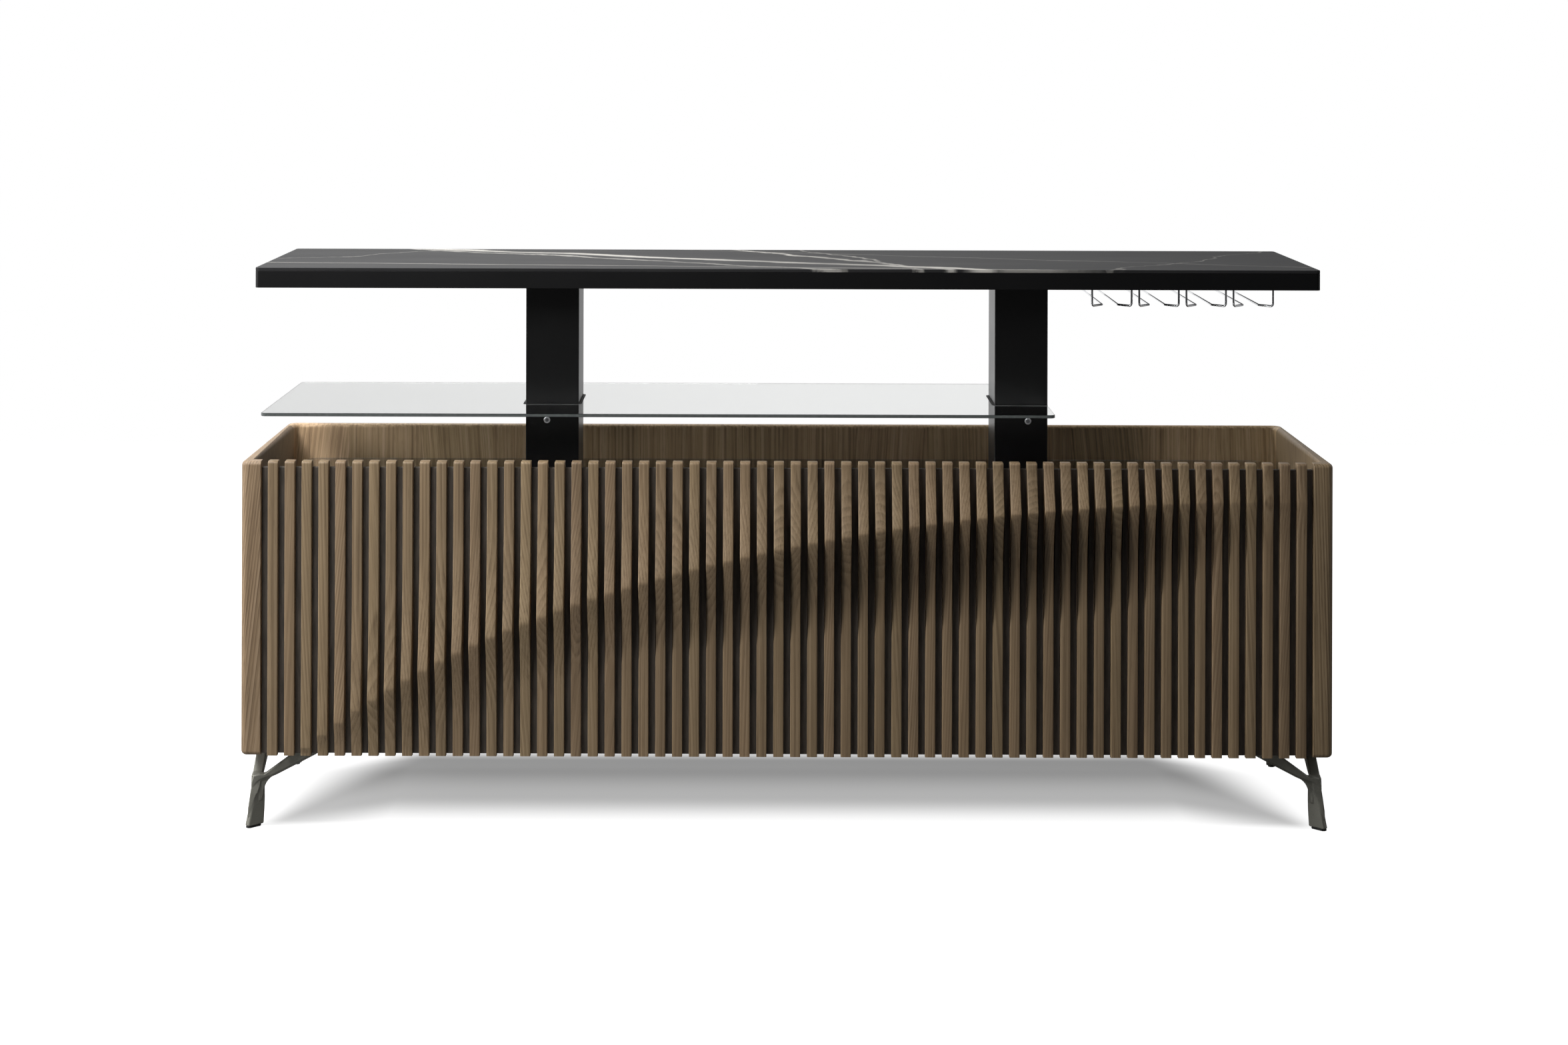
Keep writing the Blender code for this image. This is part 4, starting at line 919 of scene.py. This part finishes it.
class SIDEBOARD_OT_case_boards(Operator):
    """Make the side boards with their stiles, the rear posts, the back and the bottom"""
    bl_idname = "sideboard.case_boards"
    bl_label = "Case boards"

    def execute(self, context):
        for make, name, node in (
                (self.side_board, "side_board_", "side_panel_"),
                (self.post, "corner_post_", "rear_post_")):
            right = make(name + "right")
            left = mirrored_copy(right, name + "left", x=True)
            for piece, hand in ((right, "right"), (left, "left")):
                self.finish_board(piece, node + hand)
        self.finish_board(self.back_board(), "back_panel")
        dress_node(
            "bottom_panel", "bottom_board", "smoked_oak_boards", "case", width=PANEL_EASE,
            angle=35)
        return {"FINISHED"}

    def finish_board(self, board, node):
        """Oak, with a copy painted paler, as painted light, on the inner faces of the posts and the back
        board.
        """
        names = ["smoked_oak_boards"]
        # The inner faces take the oak painted paler, as painted light on the rear wall
        if not node.startswith("side"):
            names.append("smoked_oak_back")
        finish_piece(board, names, "case", (node,))

        def inner_face(face):
            return face.center.y < BACK - BOARD / 2 and abs(face.center.x) < HALF - BOARD / 2

        if len(names) > 1:
            give_second_finish(board, inner_face)

    def side_board(self, name):
        """The right side: a board, with a stile drawn inwards from its front edge."""
        rear = BACK - POST_LEG - SEAM
        board = add_box(name, (INNER, FRONT, LEG_HEIGHT), (HALF, rear, RIM))
        cut_at(board, [(0.0, FRONT + STILE_DEPTH, 0.0)], (0.0, 1.0, 0.0))

        def stile(centre, normal):
            return normal.x < -0.9 and centre.y < FRONT + STILE_DEPTH

        extrude_faces(board, stile, (BOARD - STILE_WIDTH, 0.0, 0.0))
        merge_flat(board)
        round_edges(board, at(x=HALF, y=FRONT), STILE_RADIUS, 9)

        def outside(p):
            arc = p.x > HALF - STILE_RADIUS and p.y < FRONT + STILE_RADIUS
            return near(p.x, HALF) or near(p.y, FRONT) or arc

        def stile_edge(a, b):
            return at(x=HALF - STILE_WIDTH)(a, b) and not at(z=LEG_HEIGHT)(a, b)

        round_edges(board, rims(outside, RIM, LEG_HEIGHT), RIM_OUTER_RADIUS, 6)
        round_edges(board, at(x=INNER, z=RIM), RIM_INNER_RADIUS, 4)
        round_edges(board, stile_edge, STILE_EDGE, 3)
        return board

    def post(self, name):
        """The right rear corner: an angle of board, rounded outside and filleted inside."""
        post = add_box(name, (INNER, BACK - POST_LEG, LEG_HEIGHT), (HALF, BACK, RIM))
        cut_at(post, [(0.0, BACK - BOARD, 0.0)], (0.0, 1.0, 0.0))

        def rear_leg(centre, normal):
            return normal.x < -0.9 and centre.y > BACK - BOARD

        extrude_faces(post, rear_leg, (BOARD - POST_LEG, 0.0, 0.0))
        merge_flat(post)
        round_edges(post, at(x=HALF, y=BACK), POST_OUTER_RADIUS, 12)
        round_edges(post, at(x=INNER, y=BACK - BOARD), POST_INNER_RADIUS, 7)

        def outside(p):
            x = max(p.x - HALF + POST_OUTER_RADIUS, 0.0)
            y = max(p.y - BACK + POST_OUTER_RADIUS, 0.0)
            return abs(math.hypot(x, y) - POST_OUTER_RADIUS) < 0.0002

        def inside(p):
            return p.x < INNER + 0.0001 and p.y < BACK - BOARD + 0.0001

        round_edges(post, rims(outside, RIM, LEG_HEIGHT), RIM_OUTER_RADIUS, 6)
        round_edges(post, rims(inside, RIM), RIM_INNER_RADIUS, 4)
        return post

    def back_board(self):
        """The back, with a recess and a hole for the mains inlet."""
        half = HALF - POST_LEG - SEAM
        board = add_box("back_board", (-half, BACK - BOARD, LEG_HEIGHT), (half, BACK, RIM))
        round_edges(board, rims(at(y=BACK), RIM, LEG_HEIGHT), RIM_OUTER_RADIUS, 6)
        round_edges(board, at(y=BACK - BOARD, z=RIM), RIM_INNER_RADIUS, 6)
        low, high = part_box("power_inlet")
        across, up = INLET_FLANGE
        for name, depth, edge in (
                ("recess_cutter", INLET_RECESS, Vector((-SEAM, 0.0, -SEAM))),
                ("hole_cutter", 0.05, Vector((across - SEAM, 0.0, up - SEAM)))):
            start = Vector((low.x, BACK - depth, low.z)) + edge
            end = Vector((high.x, BACK + 0.01, high.z)) - edge
            cut_out(board, add_box(name, start, end))
        return board


class SIDEBOARD_OT_legs(Operator):
    """Cast the forked leg once and set a copy under each corner"""
    bl_idname = "sideboard.legs"
    bl_label = "Legs"

    def execute(self, context):
        leg = self.cast()
        copies = {
            "front_right": leg,
            "front_left": mirrored_copy(leg, "cast_leg_front_left", x=True),
            "rear_right": mirrored_copy(leg, "cast_leg_rear_right", y=True),
            "rear_left": mirrored_copy(leg, "cast_leg_rear_left", x=True, y=True),
        }
        for place, piece in copies.items():
            finish_piece(piece, ["cast_gunmetal"], "case", ("leg_" + place,), 60, False)
        return {"FINISHED"}

    def cast(self):
        """Blade, webs and arms, fused on a fine grid and smoothed as a sand casting is."""
        parts = [self.blade()]
        for along_x in (True, False):
            parts += [self.arm(along_x), self.web(along_x)]
        leg = join_pieces(parts, "cast_leg_front_right")
        apply_modifier(leg, "REMESH", {"mode": "VOXEL", "voxel_size": LEG_GRAIN})
        apply_modifier(leg, "SMOOTH", {"factor": 0.5, "iterations": 3})
        return leg

    def corner_point(self, inward_x, inward_y, height):
        return Vector((HALF - inward_x, FRONT + inward_y, height))

    def arm_point(self, along_x, reach, off, height):
        """A point of an arm by its reach from the fork's middle and its offset across the arm."""
        inward_x = LEG_INSET_X + ARM_LEAN + (reach if along_x else off)
        inward_y = LEG_INSET_Y + ARM_LEAN + (off if along_x else reach)
        return self.corner_point(inward_x, inward_y, height)

    def blade(self):
        """The flat foot, set at 45 degrees, as (height, length, thickness, lean)."""
        stations = (
            (GLIDE_THICK + SEAM, 0.0325, 0.0105, 0.0015),
            (GLIDE_THICK + 0.0016, 0.0345, 0.0125, 0.0015),
            (0.032, 0.0300, 0.0122, 0.0046),
            (0.0514, 0.0262, 0.0120, 0.0064),
            (0.074, 0.0212, 0.0120, 0.0080),
            (0.094, 0.0145, 0.0120, 0.0086),
        )
        rings = []
        for height, length, thick, lean in stations:
            cut = thick * 0.16
            x = length / 2
            y = thick / 2
            ring = []
            for along, across in (
                    (-x, -y + cut), (-x + cut, -y), (x - cut, -y), (x, -y + cut),
                    (x, y - cut), (x - cut, y), (-x + cut, y), (-x, y - cut)):
                inward_x = LEG_INSET_X + lean + (along - across) * math.sqrt(0.5)
                inward_y = LEG_INSET_Y + lean + (along + across) * math.sqrt(0.5)
                ring.append(self.corner_point(inward_x, inward_y, height))
            rings.append(ring)
        return loft("leg_blade", rings)

    def arm(self, along_x):
        """One arm of the fork: a plate that grows out of the blade's outer edge, crosses its face
        in a curve and runs to its seat, with a broad chamfer along its lower edge."""
        stations = (
            # (chamfer's lower edge, upper or outer edge, chamfer, lean towards the corner, back)
            ((-0.0112, 0.020), (-0.0122, 0.020), 0.0003, 0.0050, -0.0040),
            ((-0.0092, 0.038), (-0.0116, 0.036), 0.0006, 0.0036, -0.0015),
            ((-0.0074, 0.050), (-0.0100, 0.048), 0.0012, 0.0024, 0.0008),
            ((-0.0045, 0.0637), (-0.0088, 0.058), 0.0030, 0.0012, 0.0040),
            ((-0.0020, 0.0703), (-0.0078, 0.065), 0.0045, 0.0006, 0.0070),
            ((0.0018, 0.0756), (-0.0066, 0.073), 0.0055, 0.0, 0.0090),
            ((0.0074, 0.0800), (-0.0050, 0.083), 0.0065, 0.0, ARM_BACK),
            ((0.0155, 0.0846), (-0.0016, 0.0940), 0.0075, 0.0, ARM_BACK),
            ((0.0270, 0.0894), (0.0080, 0.0962), 0.0085, 0.0, ARM_BACK),
            ((0.0400, 0.0950), CROTCH, ARM_CHAMFER, 0.0, ARM_BACK),
            ((0.1100, 0.1316), (0.0670, 0.1331), ARM_CHAMFER * 1.2, 0.0, ARM_BACK),
            ((ARM_REACH, LEG_TOP), (ARM_SEAT_REACH, LEG_TOP), ARM_CHAMFER * 1.3, 0.0, ARM_BACK),
        )
        rings = []
        for lower, upper, chamfer, lean, back in stations:
            low = Vector(lower)
            high = Vector(upper)
            up = low + (high - low).normalized() * min(chamfer, (high - low).length * 0.6)
            outer = ARM_OUTER + ARM_FLARE * within(low.x / 0.06)
            cut = min(chamfer, ARM_CHAMFER) * 0.9 - outer
            outline = ((min(cut, back), low), (back, low), (back, high), (-outer, high), (-outer, up))
            rings.append([self.arm_point(along_x, p.x, side - lean, p.y) for side, p in outline])
        return loft("leg_arm", rings)

    def web(self, along_x):
        """The thinner edge under an arm, which fillets into the blade's inner side."""
        centre = Vector((ARM_INNER + ARM_FILLET, ARM_ROOT))
        stations = [(Vector((ARM_INNER - 0.002, 0.048)), Vector((-0.002, 0.048)), 0.0)]
        steps = 7
        for step in range(steps + 1):
            share = step / steps
            angle = math.radians(180 - (90 - ARM_SLOPE) * share)
            out = Vector((math.cos(angle), math.sin(angle)))
            lower = centre + ARM_FILLET * out
            stations.append((lower, lower + (0.016 - 0.006 * share) * out, share))
        stations.append((Vector((0.1100, 0.1318)), Vector((0.0850, 0.1345)), 1.0))
        stations.append((Vector((ARM_REACH - 0.0005, LEG_TOP)), Vector((ARM_REACH - 0.030, LEG_TOP)), 1.0))
        rings = []
        for lower, upper, share in stations:
            front = 0.001 * share
            outline = ((front, lower), (ARM_BACK, lower), (ARM_BACK, upper), (front, upper))
            rings.append([self.arm_point(along_x, p.x, side, p.y) for side, p in outline])
        return loft("leg_web", rings)


class SIDEBOARD_OT_glides(Operator):
    """Put a plastic glide under each foot"""
    bl_idname = "sideboard.glides"
    bl_label = "Glides"

    def execute(self, context):
        for place in ("front_left", "front_right", "rear_left", "rear_right"):
            dress_node(
                "glide_" + place, "foot_glide_" + place, "black_glide_plastic", "case",
                width=0.0006, segments=3, angle=30)
        return {"FINISHED"}


# The rack

class SIDEBOARD_OT_bar_top(Operator):
    """Make the lacquered board and the ceramic slab on it"""
    bl_idname = "sideboard.bar_top"
    bl_label = "Bar top"

    def execute(self, context):
        board = rounded_plate("bar_board", *TOP_BOARD, TOP_CORNER)
        ease_edges(board, context.scene.sideboard_sizes.board_ease, 3)
        finish_piece(board, ["black_satin_lacquer"], "rack", ("top_board",))
        slab = rounded_plate("ceramic_slab", *SLAB, TOP_CORNER)
        round_edges(slab, at(z=SLAB[1].z), SLAB_EDGE, 3)
        finish_piece(slab, ["black_veined_ceramic"], "rack", ("ceramic_top",))
        return {"FINISHED"}


class SIDEBOARD_OT_columns(Operator):
    """Make the moving outer columns and their cap plates"""
    bl_idname = "sideboard.columns"
    bl_label = "Columns"

    def execute(self, context):
        for hand, (low, high) in COLUMNS.items():
            sleeve = rounded_plate("column_sleeve_" + hand, low, high, COLUMN_EDGE, 4)
            pick(sleeve, "FACE", lambda centre, normal: abs(normal.z) > 0.9)
            bpy.ops.mesh.delete(type="FACE")
            leave_edit()
            apply_modifier(sleeve, "SOLIDIFY", {"thickness": COLUMN_WALL, "offset": -1.0})
            cap = rounded_plate("cap_plate_" + hand, *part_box("column_cap_" + hand), CAP_CORNER, 5)
            for piece, width, node in ((sleeve, 0.0005, "lift_column_"), (cap, 0.0004, "column_cap_")):
                ease_edges(piece, width, 2, 60)
                finish_piece(piece, ["black_powder_coat"], "rack", (node + hand,))
        return {"FINISHED"}


class SIDEBOARD_OT_shelves(Operator):
    """Make the two glass shelves, cut out round the columns, with ground edges"""
    bl_idname = "sideboard.shelves"
    bl_label = "Glass shelves"

    def execute(self, context):
        arris = context.scene.sideboard_sizes.glass_arris
        margin = Vector((GASKET_WIDTH, GASKET_WIDTH, 0.01))
        for node, radius in SHELF_CORNERS.items():
            low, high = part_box(node)
            plate = rounded_plate(node.replace("_shelf", "_plate"), low, high, radius, 10)
            for column_low, column_high in COLUMNS.values():
                start = Vector((*column_low.xy, low.z)) - margin
                end = Vector((*column_high.xy, high.z)) + margin
                if high.x < end.x:
                    end.x = high.x + 0.02
                cut_out(plate, rounded_plate("column_cutter", start, end, CUTOUT_CORNER, 5))

            ease_edges(plate, arris, 1, 60)
            names = ["clear_float_glass", "ground_glass_edge"]
            finish_piece(plate, names, "rack", (node,))
            give_second_finish(plate, lambda face: abs(face.normal.z) < 0.3)
        return {"FINISHED"}


class SIDEBOARD_OT_gaskets(Operator):
    """Dress the rubber trim between the glass and the columns"""
    bl_idname = "sideboard.gaskets"
    bl_label = "Gaskets"

    def execute(self, context):
        for level in ("upper", "lower"):
            for hand in HANDS:
                dress_node(
                    level + "_gasket_" + hand, level + "_trim_" + hand, "black_rubber_trim", "rack",
                    width=0.0006, angle=50)
        return {"FINISHED"}


class SIDEBOARD_OT_rods(Operator):
    """Turn the chrome rods that carry the glass"""
    bl_idname = "sideboard.rods"
    bl_label = "Shelf rods"

    def execute(self, context):
        for level in ("upper", "lower"):
            for end in ("front", "rear"):
                for hand in HANDS:
                    place = end + "_" + hand
                    self.turn(level + "_rod_" + place, level + "_bar_" + place)
        return {"FINISHED"}

    def turn(self, node, name):
        """A rod with a rounded and hollowed tip, which points away from the column."""
        low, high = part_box(node)
        centre = (low + high) / 2
        deselect_all()
        bpy.ops.mesh.primitive_cylinder_add(
            vertices=48, radius=ROD_RADIUS, depth=high.y - low.y, location=centre,
            rotation=(math.radians(90), 0.0, 0.0))
        rod = name_piece(bpy.context.active_object, name)
        bpy.ops.object.transform_apply(location=True, rotation=True, scale=True)
        tip, inwards = (low.y, 1.0) if centre.y < COLUMN_Y else (high.y, -1.0)
        round_edges(rod, at(y=tip), ROD_EDGE, 4)
        pick(rod, "FACE", lambda place, normal: abs(normal.y) > 0.99 and near(place.y, tip))
        bpy.ops.mesh.inset(thickness=ROD_WALL)
        bpy.ops.mesh.extrude_region_move(
            TRANSFORM_OT_translate={"value": (0.0, ROD_BORE * inwards, 0.0)})
        leave_edit()
        finish_piece(rod, ["polished_chrome", "turned_chrome_end"], "rack", (node,))
        give_second_finish(rod, lambda face: abs(face.center.y - tip) < ROD_EDGE + 0.0001)


def bent(corners, radius, steps):
    """A path whose inner corners are arcs of a bending radius."""
    path = [corners[0]]
    for before, corner, after in zip(corners, corners[1:], corners[2:]):
        into = (corner - before).normalized()
        out = (after - corner).normalized()
        turn = into.angle(out)
        start = corner - into * radius * math.tan(turn / 2)
        normal = (out - into * into.dot(out)).normalized()
        for step in range(steps + 1):
            angle = turn * step / steps
            path.append(
                start + normal * radius * (1 - math.cos(angle)) + into * radius * math.sin(angle))
    path.append(corners[-1])
    return path


class SIDEBOARD_OT_hangers(Operator):
    """Bend the wire hangers for stemware"""
    bl_idname = "sideboard.hangers"
    bl_label = "Stem hangers"

    def execute(self, context):
        for number in ("1", "2", "3", "4"):
            self.bend("stem_hanger_" + number, "wire_hanger_" + number)
        return {"FINISHED"}

    def bend(self, node, name):
        """Two front legs, two rails and a rear loop of one wire."""
        low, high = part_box(node)
        centre = (low.x + high.x) / 2
        front = low.y + HANGER_WIRE
        rear = high.y - HANGER_WIRE
        bottom = low.z + HANGER_WIRE
        half_leg = (high.x - low.x) / 2 - HANGER_WIRE
        corners = []
        for hand in (-1, 1):
            leg = centre + hand * half_leg
            rail = centre + hand * HANGER_HALF_SLOT
            run = [
                Vector((leg, front, TOP_BOARD[0].z + HANGER_SOCKET)),
                Vector((leg, front, bottom)),
                Vector((rail, front + HANGER_SPLAY, bottom)),
                Vector((rail, rear, bottom)),
                Vector((rail, rear, TOP_BOARD[0].z - HANGER_WIRE - SEAM)),
            ]
            corners += run if hand < 0 else run[::-1]
        path = bent(corners, HANGER_BEND, 8)
        deselect_all()
        bpy.ops.curve.primitive_bezier_curve_add()
        wire_piece = bpy.context.active_object
        wire_piece.name = name
        wire_piece.location = (0.0, 0.0, 0.0)
        curve = wire_piece.data
        curve.splines.clear()
        spline = curve.splines.new("POLY")
        spline.points.add(len(path) - 1)
        for point, place in zip(spline.points, path):
            point.co = (*place, 1.0)
        curve.dimensions = "3D"
        curve.bevel_depth = HANGER_WIRE
        curve.bevel_resolution = 5
        curve.use_fill_caps = True
        bpy.ops.object.convert(target="MESH")
        wire_piece = bpy.context.active_object
        turn_faces_out(wire_piece)
        finish_piece(wire_piece, ["polished_chrome"], "rack", (node,), 50, False)


# The drive and the electrics

class SIDEBOARD_OT_drive(Operator):
    """Dress the masts, bushes, motors, spindles, nuts and push tubes"""
    bl_idname = "sideboard.drive"
    bl_label = "Drive"

    def execute(self, context):
        for hand in HANDS:
            for node, name, finish_name, body, slot in (
                    ("lift_mast_", "mast_", "zinc_plated_steel", "case", "zinc_steel"),
                    ("mast_bush_", "guide_bush_", "white_acetal", "case", "acetal"),
                    ("gear_motor_", "motor_", "black_moulded_plastic", "case", "black_housing"),
                    ("column_bush_", "foot_bush_", "white_acetal", "rack", "acetal"),
                    ("spindle_nut_", "nut_", "white_acetal", "rack", "acetal"),
                    ("push_tube_", "push_rod_", "zinc_plated_steel", "rack", "zinc_steel"),
                    ("spindle_", "lead_screw_", "zinc_plated_steel", "spindle_" + hand, "zinc_steel")):
                dress_node(node + hand, name + hand, finish_name, body)
        return {"FINISHED"}


class SIDEBOARD_OT_electrics(Operator):
    """Dress the control box and the power inlet"""
    bl_idname = "sideboard.electrics"
    bl_label = "Electrics"

    def execute(self, context):
        for node, name in (("control_box", "control_housing"), ("power_inlet", "inlet_socket")):
            dress_node(node, name, "black_moulded_plastic", "case")
        return {"FINISHED"}


# The stage

class SIDEBOARD_OT_stage(Operator):
    """Set the camera, the studio light, the background and the floor"""
    bl_idname = "sideboard.stage"
    bl_label = "Stage"

    def execute(self, context):
        scene = context.scene
        scene.view_settings.view_transform = "Standard"
        self.camera(scene)
        for lamp in LAMPS:
            self.lamp(scene, *lamp)
        self.world(scene)
        self.floor()
        return {"FINISHED"}

    def camera(self, scene):
        data = bpy.data.cameras.new("photo_camera")
        data.sensor_width = SENSOR
        data.lens = FOCAL_PIXELS / PHOTO_WIDTH * SENSOR
        data.shift_x = (PHOTO_WIDTH / 2 - VANISHING_X) / PHOTO_WIDTH
        data.shift_y = (VANISHING_Y - PHOTO_HEIGHT / 2) / PHOTO_WIDTH
        camera = bpy.data.objects.new("photo_camera", data)
        camera.location = CAMERA_PLACE
        camera.rotation_euler = (math.radians(90), -CAMERA_ROLL, 0.0)
        scene.collection.objects.link(camera)
        scene.camera = camera

    def lamp(self, scene, name, place, target, size, power):
        data = bpy.data.lights.new(name, "AREA")
        data.shape = "RECTANGLE"
        data.size, data.size_y = size
        data.energy = power
        lamp = bpy.data.objects.new(name, data)
        lamp.location = place
        aim = Vector(target) - Vector(place)
        lamp.rotation_euler = aim.to_track_quat("-Z", "Y").to_euler()
        scene.collection.objects.link(lamp)

    def seen(self, tree, ray):
        """One for rays from the camera, straight or through glass, and nothing for others."""
        return add_node(
            tree, "Math", {0: ray.outputs["Is Camera Ray"], 1: ray.outputs["Is Transmission Ray"]},
            operation="MAXIMUM")

    def world(self, scene):
        """White where the camera looks, bright behind the object and dim in front of it."""
        world = bpy.data.worlds.new("studio")
        scene.world = world
        world.use_nodes = True
        tree = world.node_tree
        towards = add_node(tree, "TexCoord", {}).outputs["Generated"]
        parts = add_node(tree, "SeparateXYZ", {0: towards})
        ray = add_node(tree, "LightPath", {})
        lit = add_node(
            tree, "MapRange",
            {"Value": parts.outputs["Y"], "From Min": -0.25, "From Max": 0.25,
             "To Min": LIGHT_IN_FRONT, "To Max": LIGHT_BEHIND},
            interpolation_type="SMOOTHSTEP")
        mirrored = add_node(
            tree, "MapRange",
            {"Value": parts.outputs["Y"], "From Min": -0.10, "From Max": 0.10,
             "To Min": MIRRORED_IN_FRONT},
            interpolation_type="SMOOTHSTEP")

        # A dark flag behind and to the right, which only reflections show
        across = add_node(tree, "MapRange", {"Value": parts.outputs["X"], "From Min": -1.0})
        flag = add_node(
            tree, "ValToRGB", {"Fac": across}, ((0.575, grey(1.0)), (0.62, grey(0.20)), (0.85, grey(1.0))))
        flag.color_ramp.interpolation = "EASE"
        flagged = add_node(tree, "Math", {0: mirrored, 1: flag}, operation="MULTIPLY")
        light = add_node(
            tree, "Mix", {"Factor": ray.outputs["Is Glossy Ray"], "A": lit, "B": flagged})
        strength = add_node(tree, "Mix", {"Factor": self.seen(tree, ray), "A": light, "B": 1.0})
        wire(tree.nodes["Background"], {"Color": grey(1.0), "Strength": strength})

    def floor(self):
        """A pale floor that glows white for the camera; under the object a painted shadow lowers the glow
        so that the real shadow shows, and it fades to the white behind.
        """
        deselect_all()
        bpy.ops.mesh.primitive_plane_add(size=FLOOR_SIZE, location=(0.0, 0.0, -FLOOR_BELOW))
        floor = bpy.context.active_object
        floor.name = "studio_floor"
        material, tree, shader, place = new_material(
            "pale_studio_floor",
            {"Roughness": 0.8, "Specular IOR Level": 0.0, "Emission Color": grey(1.0)})
        mottle = add_node(tree, "TexNoise", {"Vector": place, "Scale": per_metre(83.33), "Detail": 3.0})
        tone = add_node(
            tree, "ValToRGB", {"Fac": mottle}, ((0.0, toned(srgb("7a7a7a"))), (1.0, toned(srgb("828282")))))

        # The painted shadow deepens from the front plane to the back one, a little sooner beside the legs
        parts = add_node(tree, "SeparateXYZ", {0: place})
        depth = add_node(
            tree, "MapRange",
            {"Value": parts.outputs["Y"], "From Min": FRONT, "From Max": FRONT + PAINTED_SHADE_DEPTH})
        across = add_node(tree, "Math", {0: parts.outputs["X"]}, operation="ABSOLUTE")
        beside_leg = add_node(
            tree, "MapRange", {"Value": across, "From Min": 0.74, "From Max": 0.97, "To Max": 0.24})
        under = add_node(tree, "MapRange", {"Value": depth, "From Max": 0.12})
        reached = add_node(tree, "Math", {0: beside_leg, 1: under, 2: depth}, operation="MULTIPLY_ADD")
        painted_shade = add_node(
            tree, "ValToRGB", {"Fac": reached},
            ((0.08, grey(0.0)), (0.40, grey(0.56)), (0.82, grey(0.80)), (1.0, grey(0.0))))
        painted_shade.color_ramp.interpolation = "EASE"

        # The painted shadow's two ends fade out, over a longer way towards the back
        edge = add_node(tree, "MapRange", {"Value": depth, "To Min": 1.0, "To Max": 0.92})
        soft = add_node(tree, "MapRange", {"Value": depth, "To Min": 0.965, "To Max": 0.66})
        inside = add_node(
            tree, "MapRange",
            {"Value": across, "From Min": soft, "From Max": edge, "To Min": 1.0, "To Max": 0.0},
            interpolation_type="SMOOTHSTEP")
        painted_shade_within = add_node(tree, "Math", {0: painted_shade, 1: inside}, operation="MULTIPLY")
        glow = add_node(tree, "MapRange", {"Value": painted_shade_within, "To Min": 1.0, "To Max": 0.0})
        ray = add_node(tree, "LightPath", {})
        strength = add_node(tree, "Math", {0: glow, 1: self.seen(tree, ray)}, operation="MULTIPLY")
        wire(shader, {"Base Color": tone, "Emission Strength": strength})
        floor.data.materials.append(material)


OPERATORS = (
    SIDEBOARD_OT_stage,
    SIDEBOARD_OT_slats,
    SIDEBOARD_OT_front_board,
    SIDEBOARD_OT_case_boards,
    SIDEBOARD_OT_legs,
    SIDEBOARD_OT_glides,
    SIDEBOARD_OT_bar_top,
    SIDEBOARD_OT_columns,
    SIDEBOARD_OT_shelves,
    SIDEBOARD_OT_gaskets,
    SIDEBOARD_OT_rods,
    SIDEBOARD_OT_hangers,
    SIDEBOARD_OT_drive,
    SIDEBOARD_OT_electrics,
)


class SIDEBOARD_PT_panel(Panel):
    bl_idname = "SIDEBOARD_PT_panel"
    bl_label = "Sideboard"
    bl_space_type = "VIEW_3D"
    bl_region_type = "UI"
    bl_category = "Sideboard"

    def draw(self, context):
        for group in (context.scene.sideboard_sizes, context.scene.sideboard_finishes):
            for name in group.__annotations__:
                self.layout.prop(group, name)
        for operator in OPERATORS:
            self.layout.operator(operator.bl_idname)


CLASSES = (SideboardSizes, SideboardFinishes, *OPERATORS, SIDEBOARD_PT_panel)


def register():
    for item in CLASSES:
        bpy.utils.register_class(item)
    bpy.types.Scene.sideboard_sizes = PointerProperty(type=SideboardSizes)
    bpy.types.Scene.sideboard_finishes = PointerProperty(type=SideboardFinishes)


def unregister():
    del bpy.types.Scene.sideboard_finishes
    del bpy.types.Scene.sideboard_sizes
    for item in reversed(CLASSES):
        bpy.utils.unregister_class(item)


def main():
    register()
    for operator in OPERATORS:
        group, name = operator.bl_idname.split(".")
        getattr(getattr(bpy.ops, group), name)()


if __name__ == "__main__":
    main()
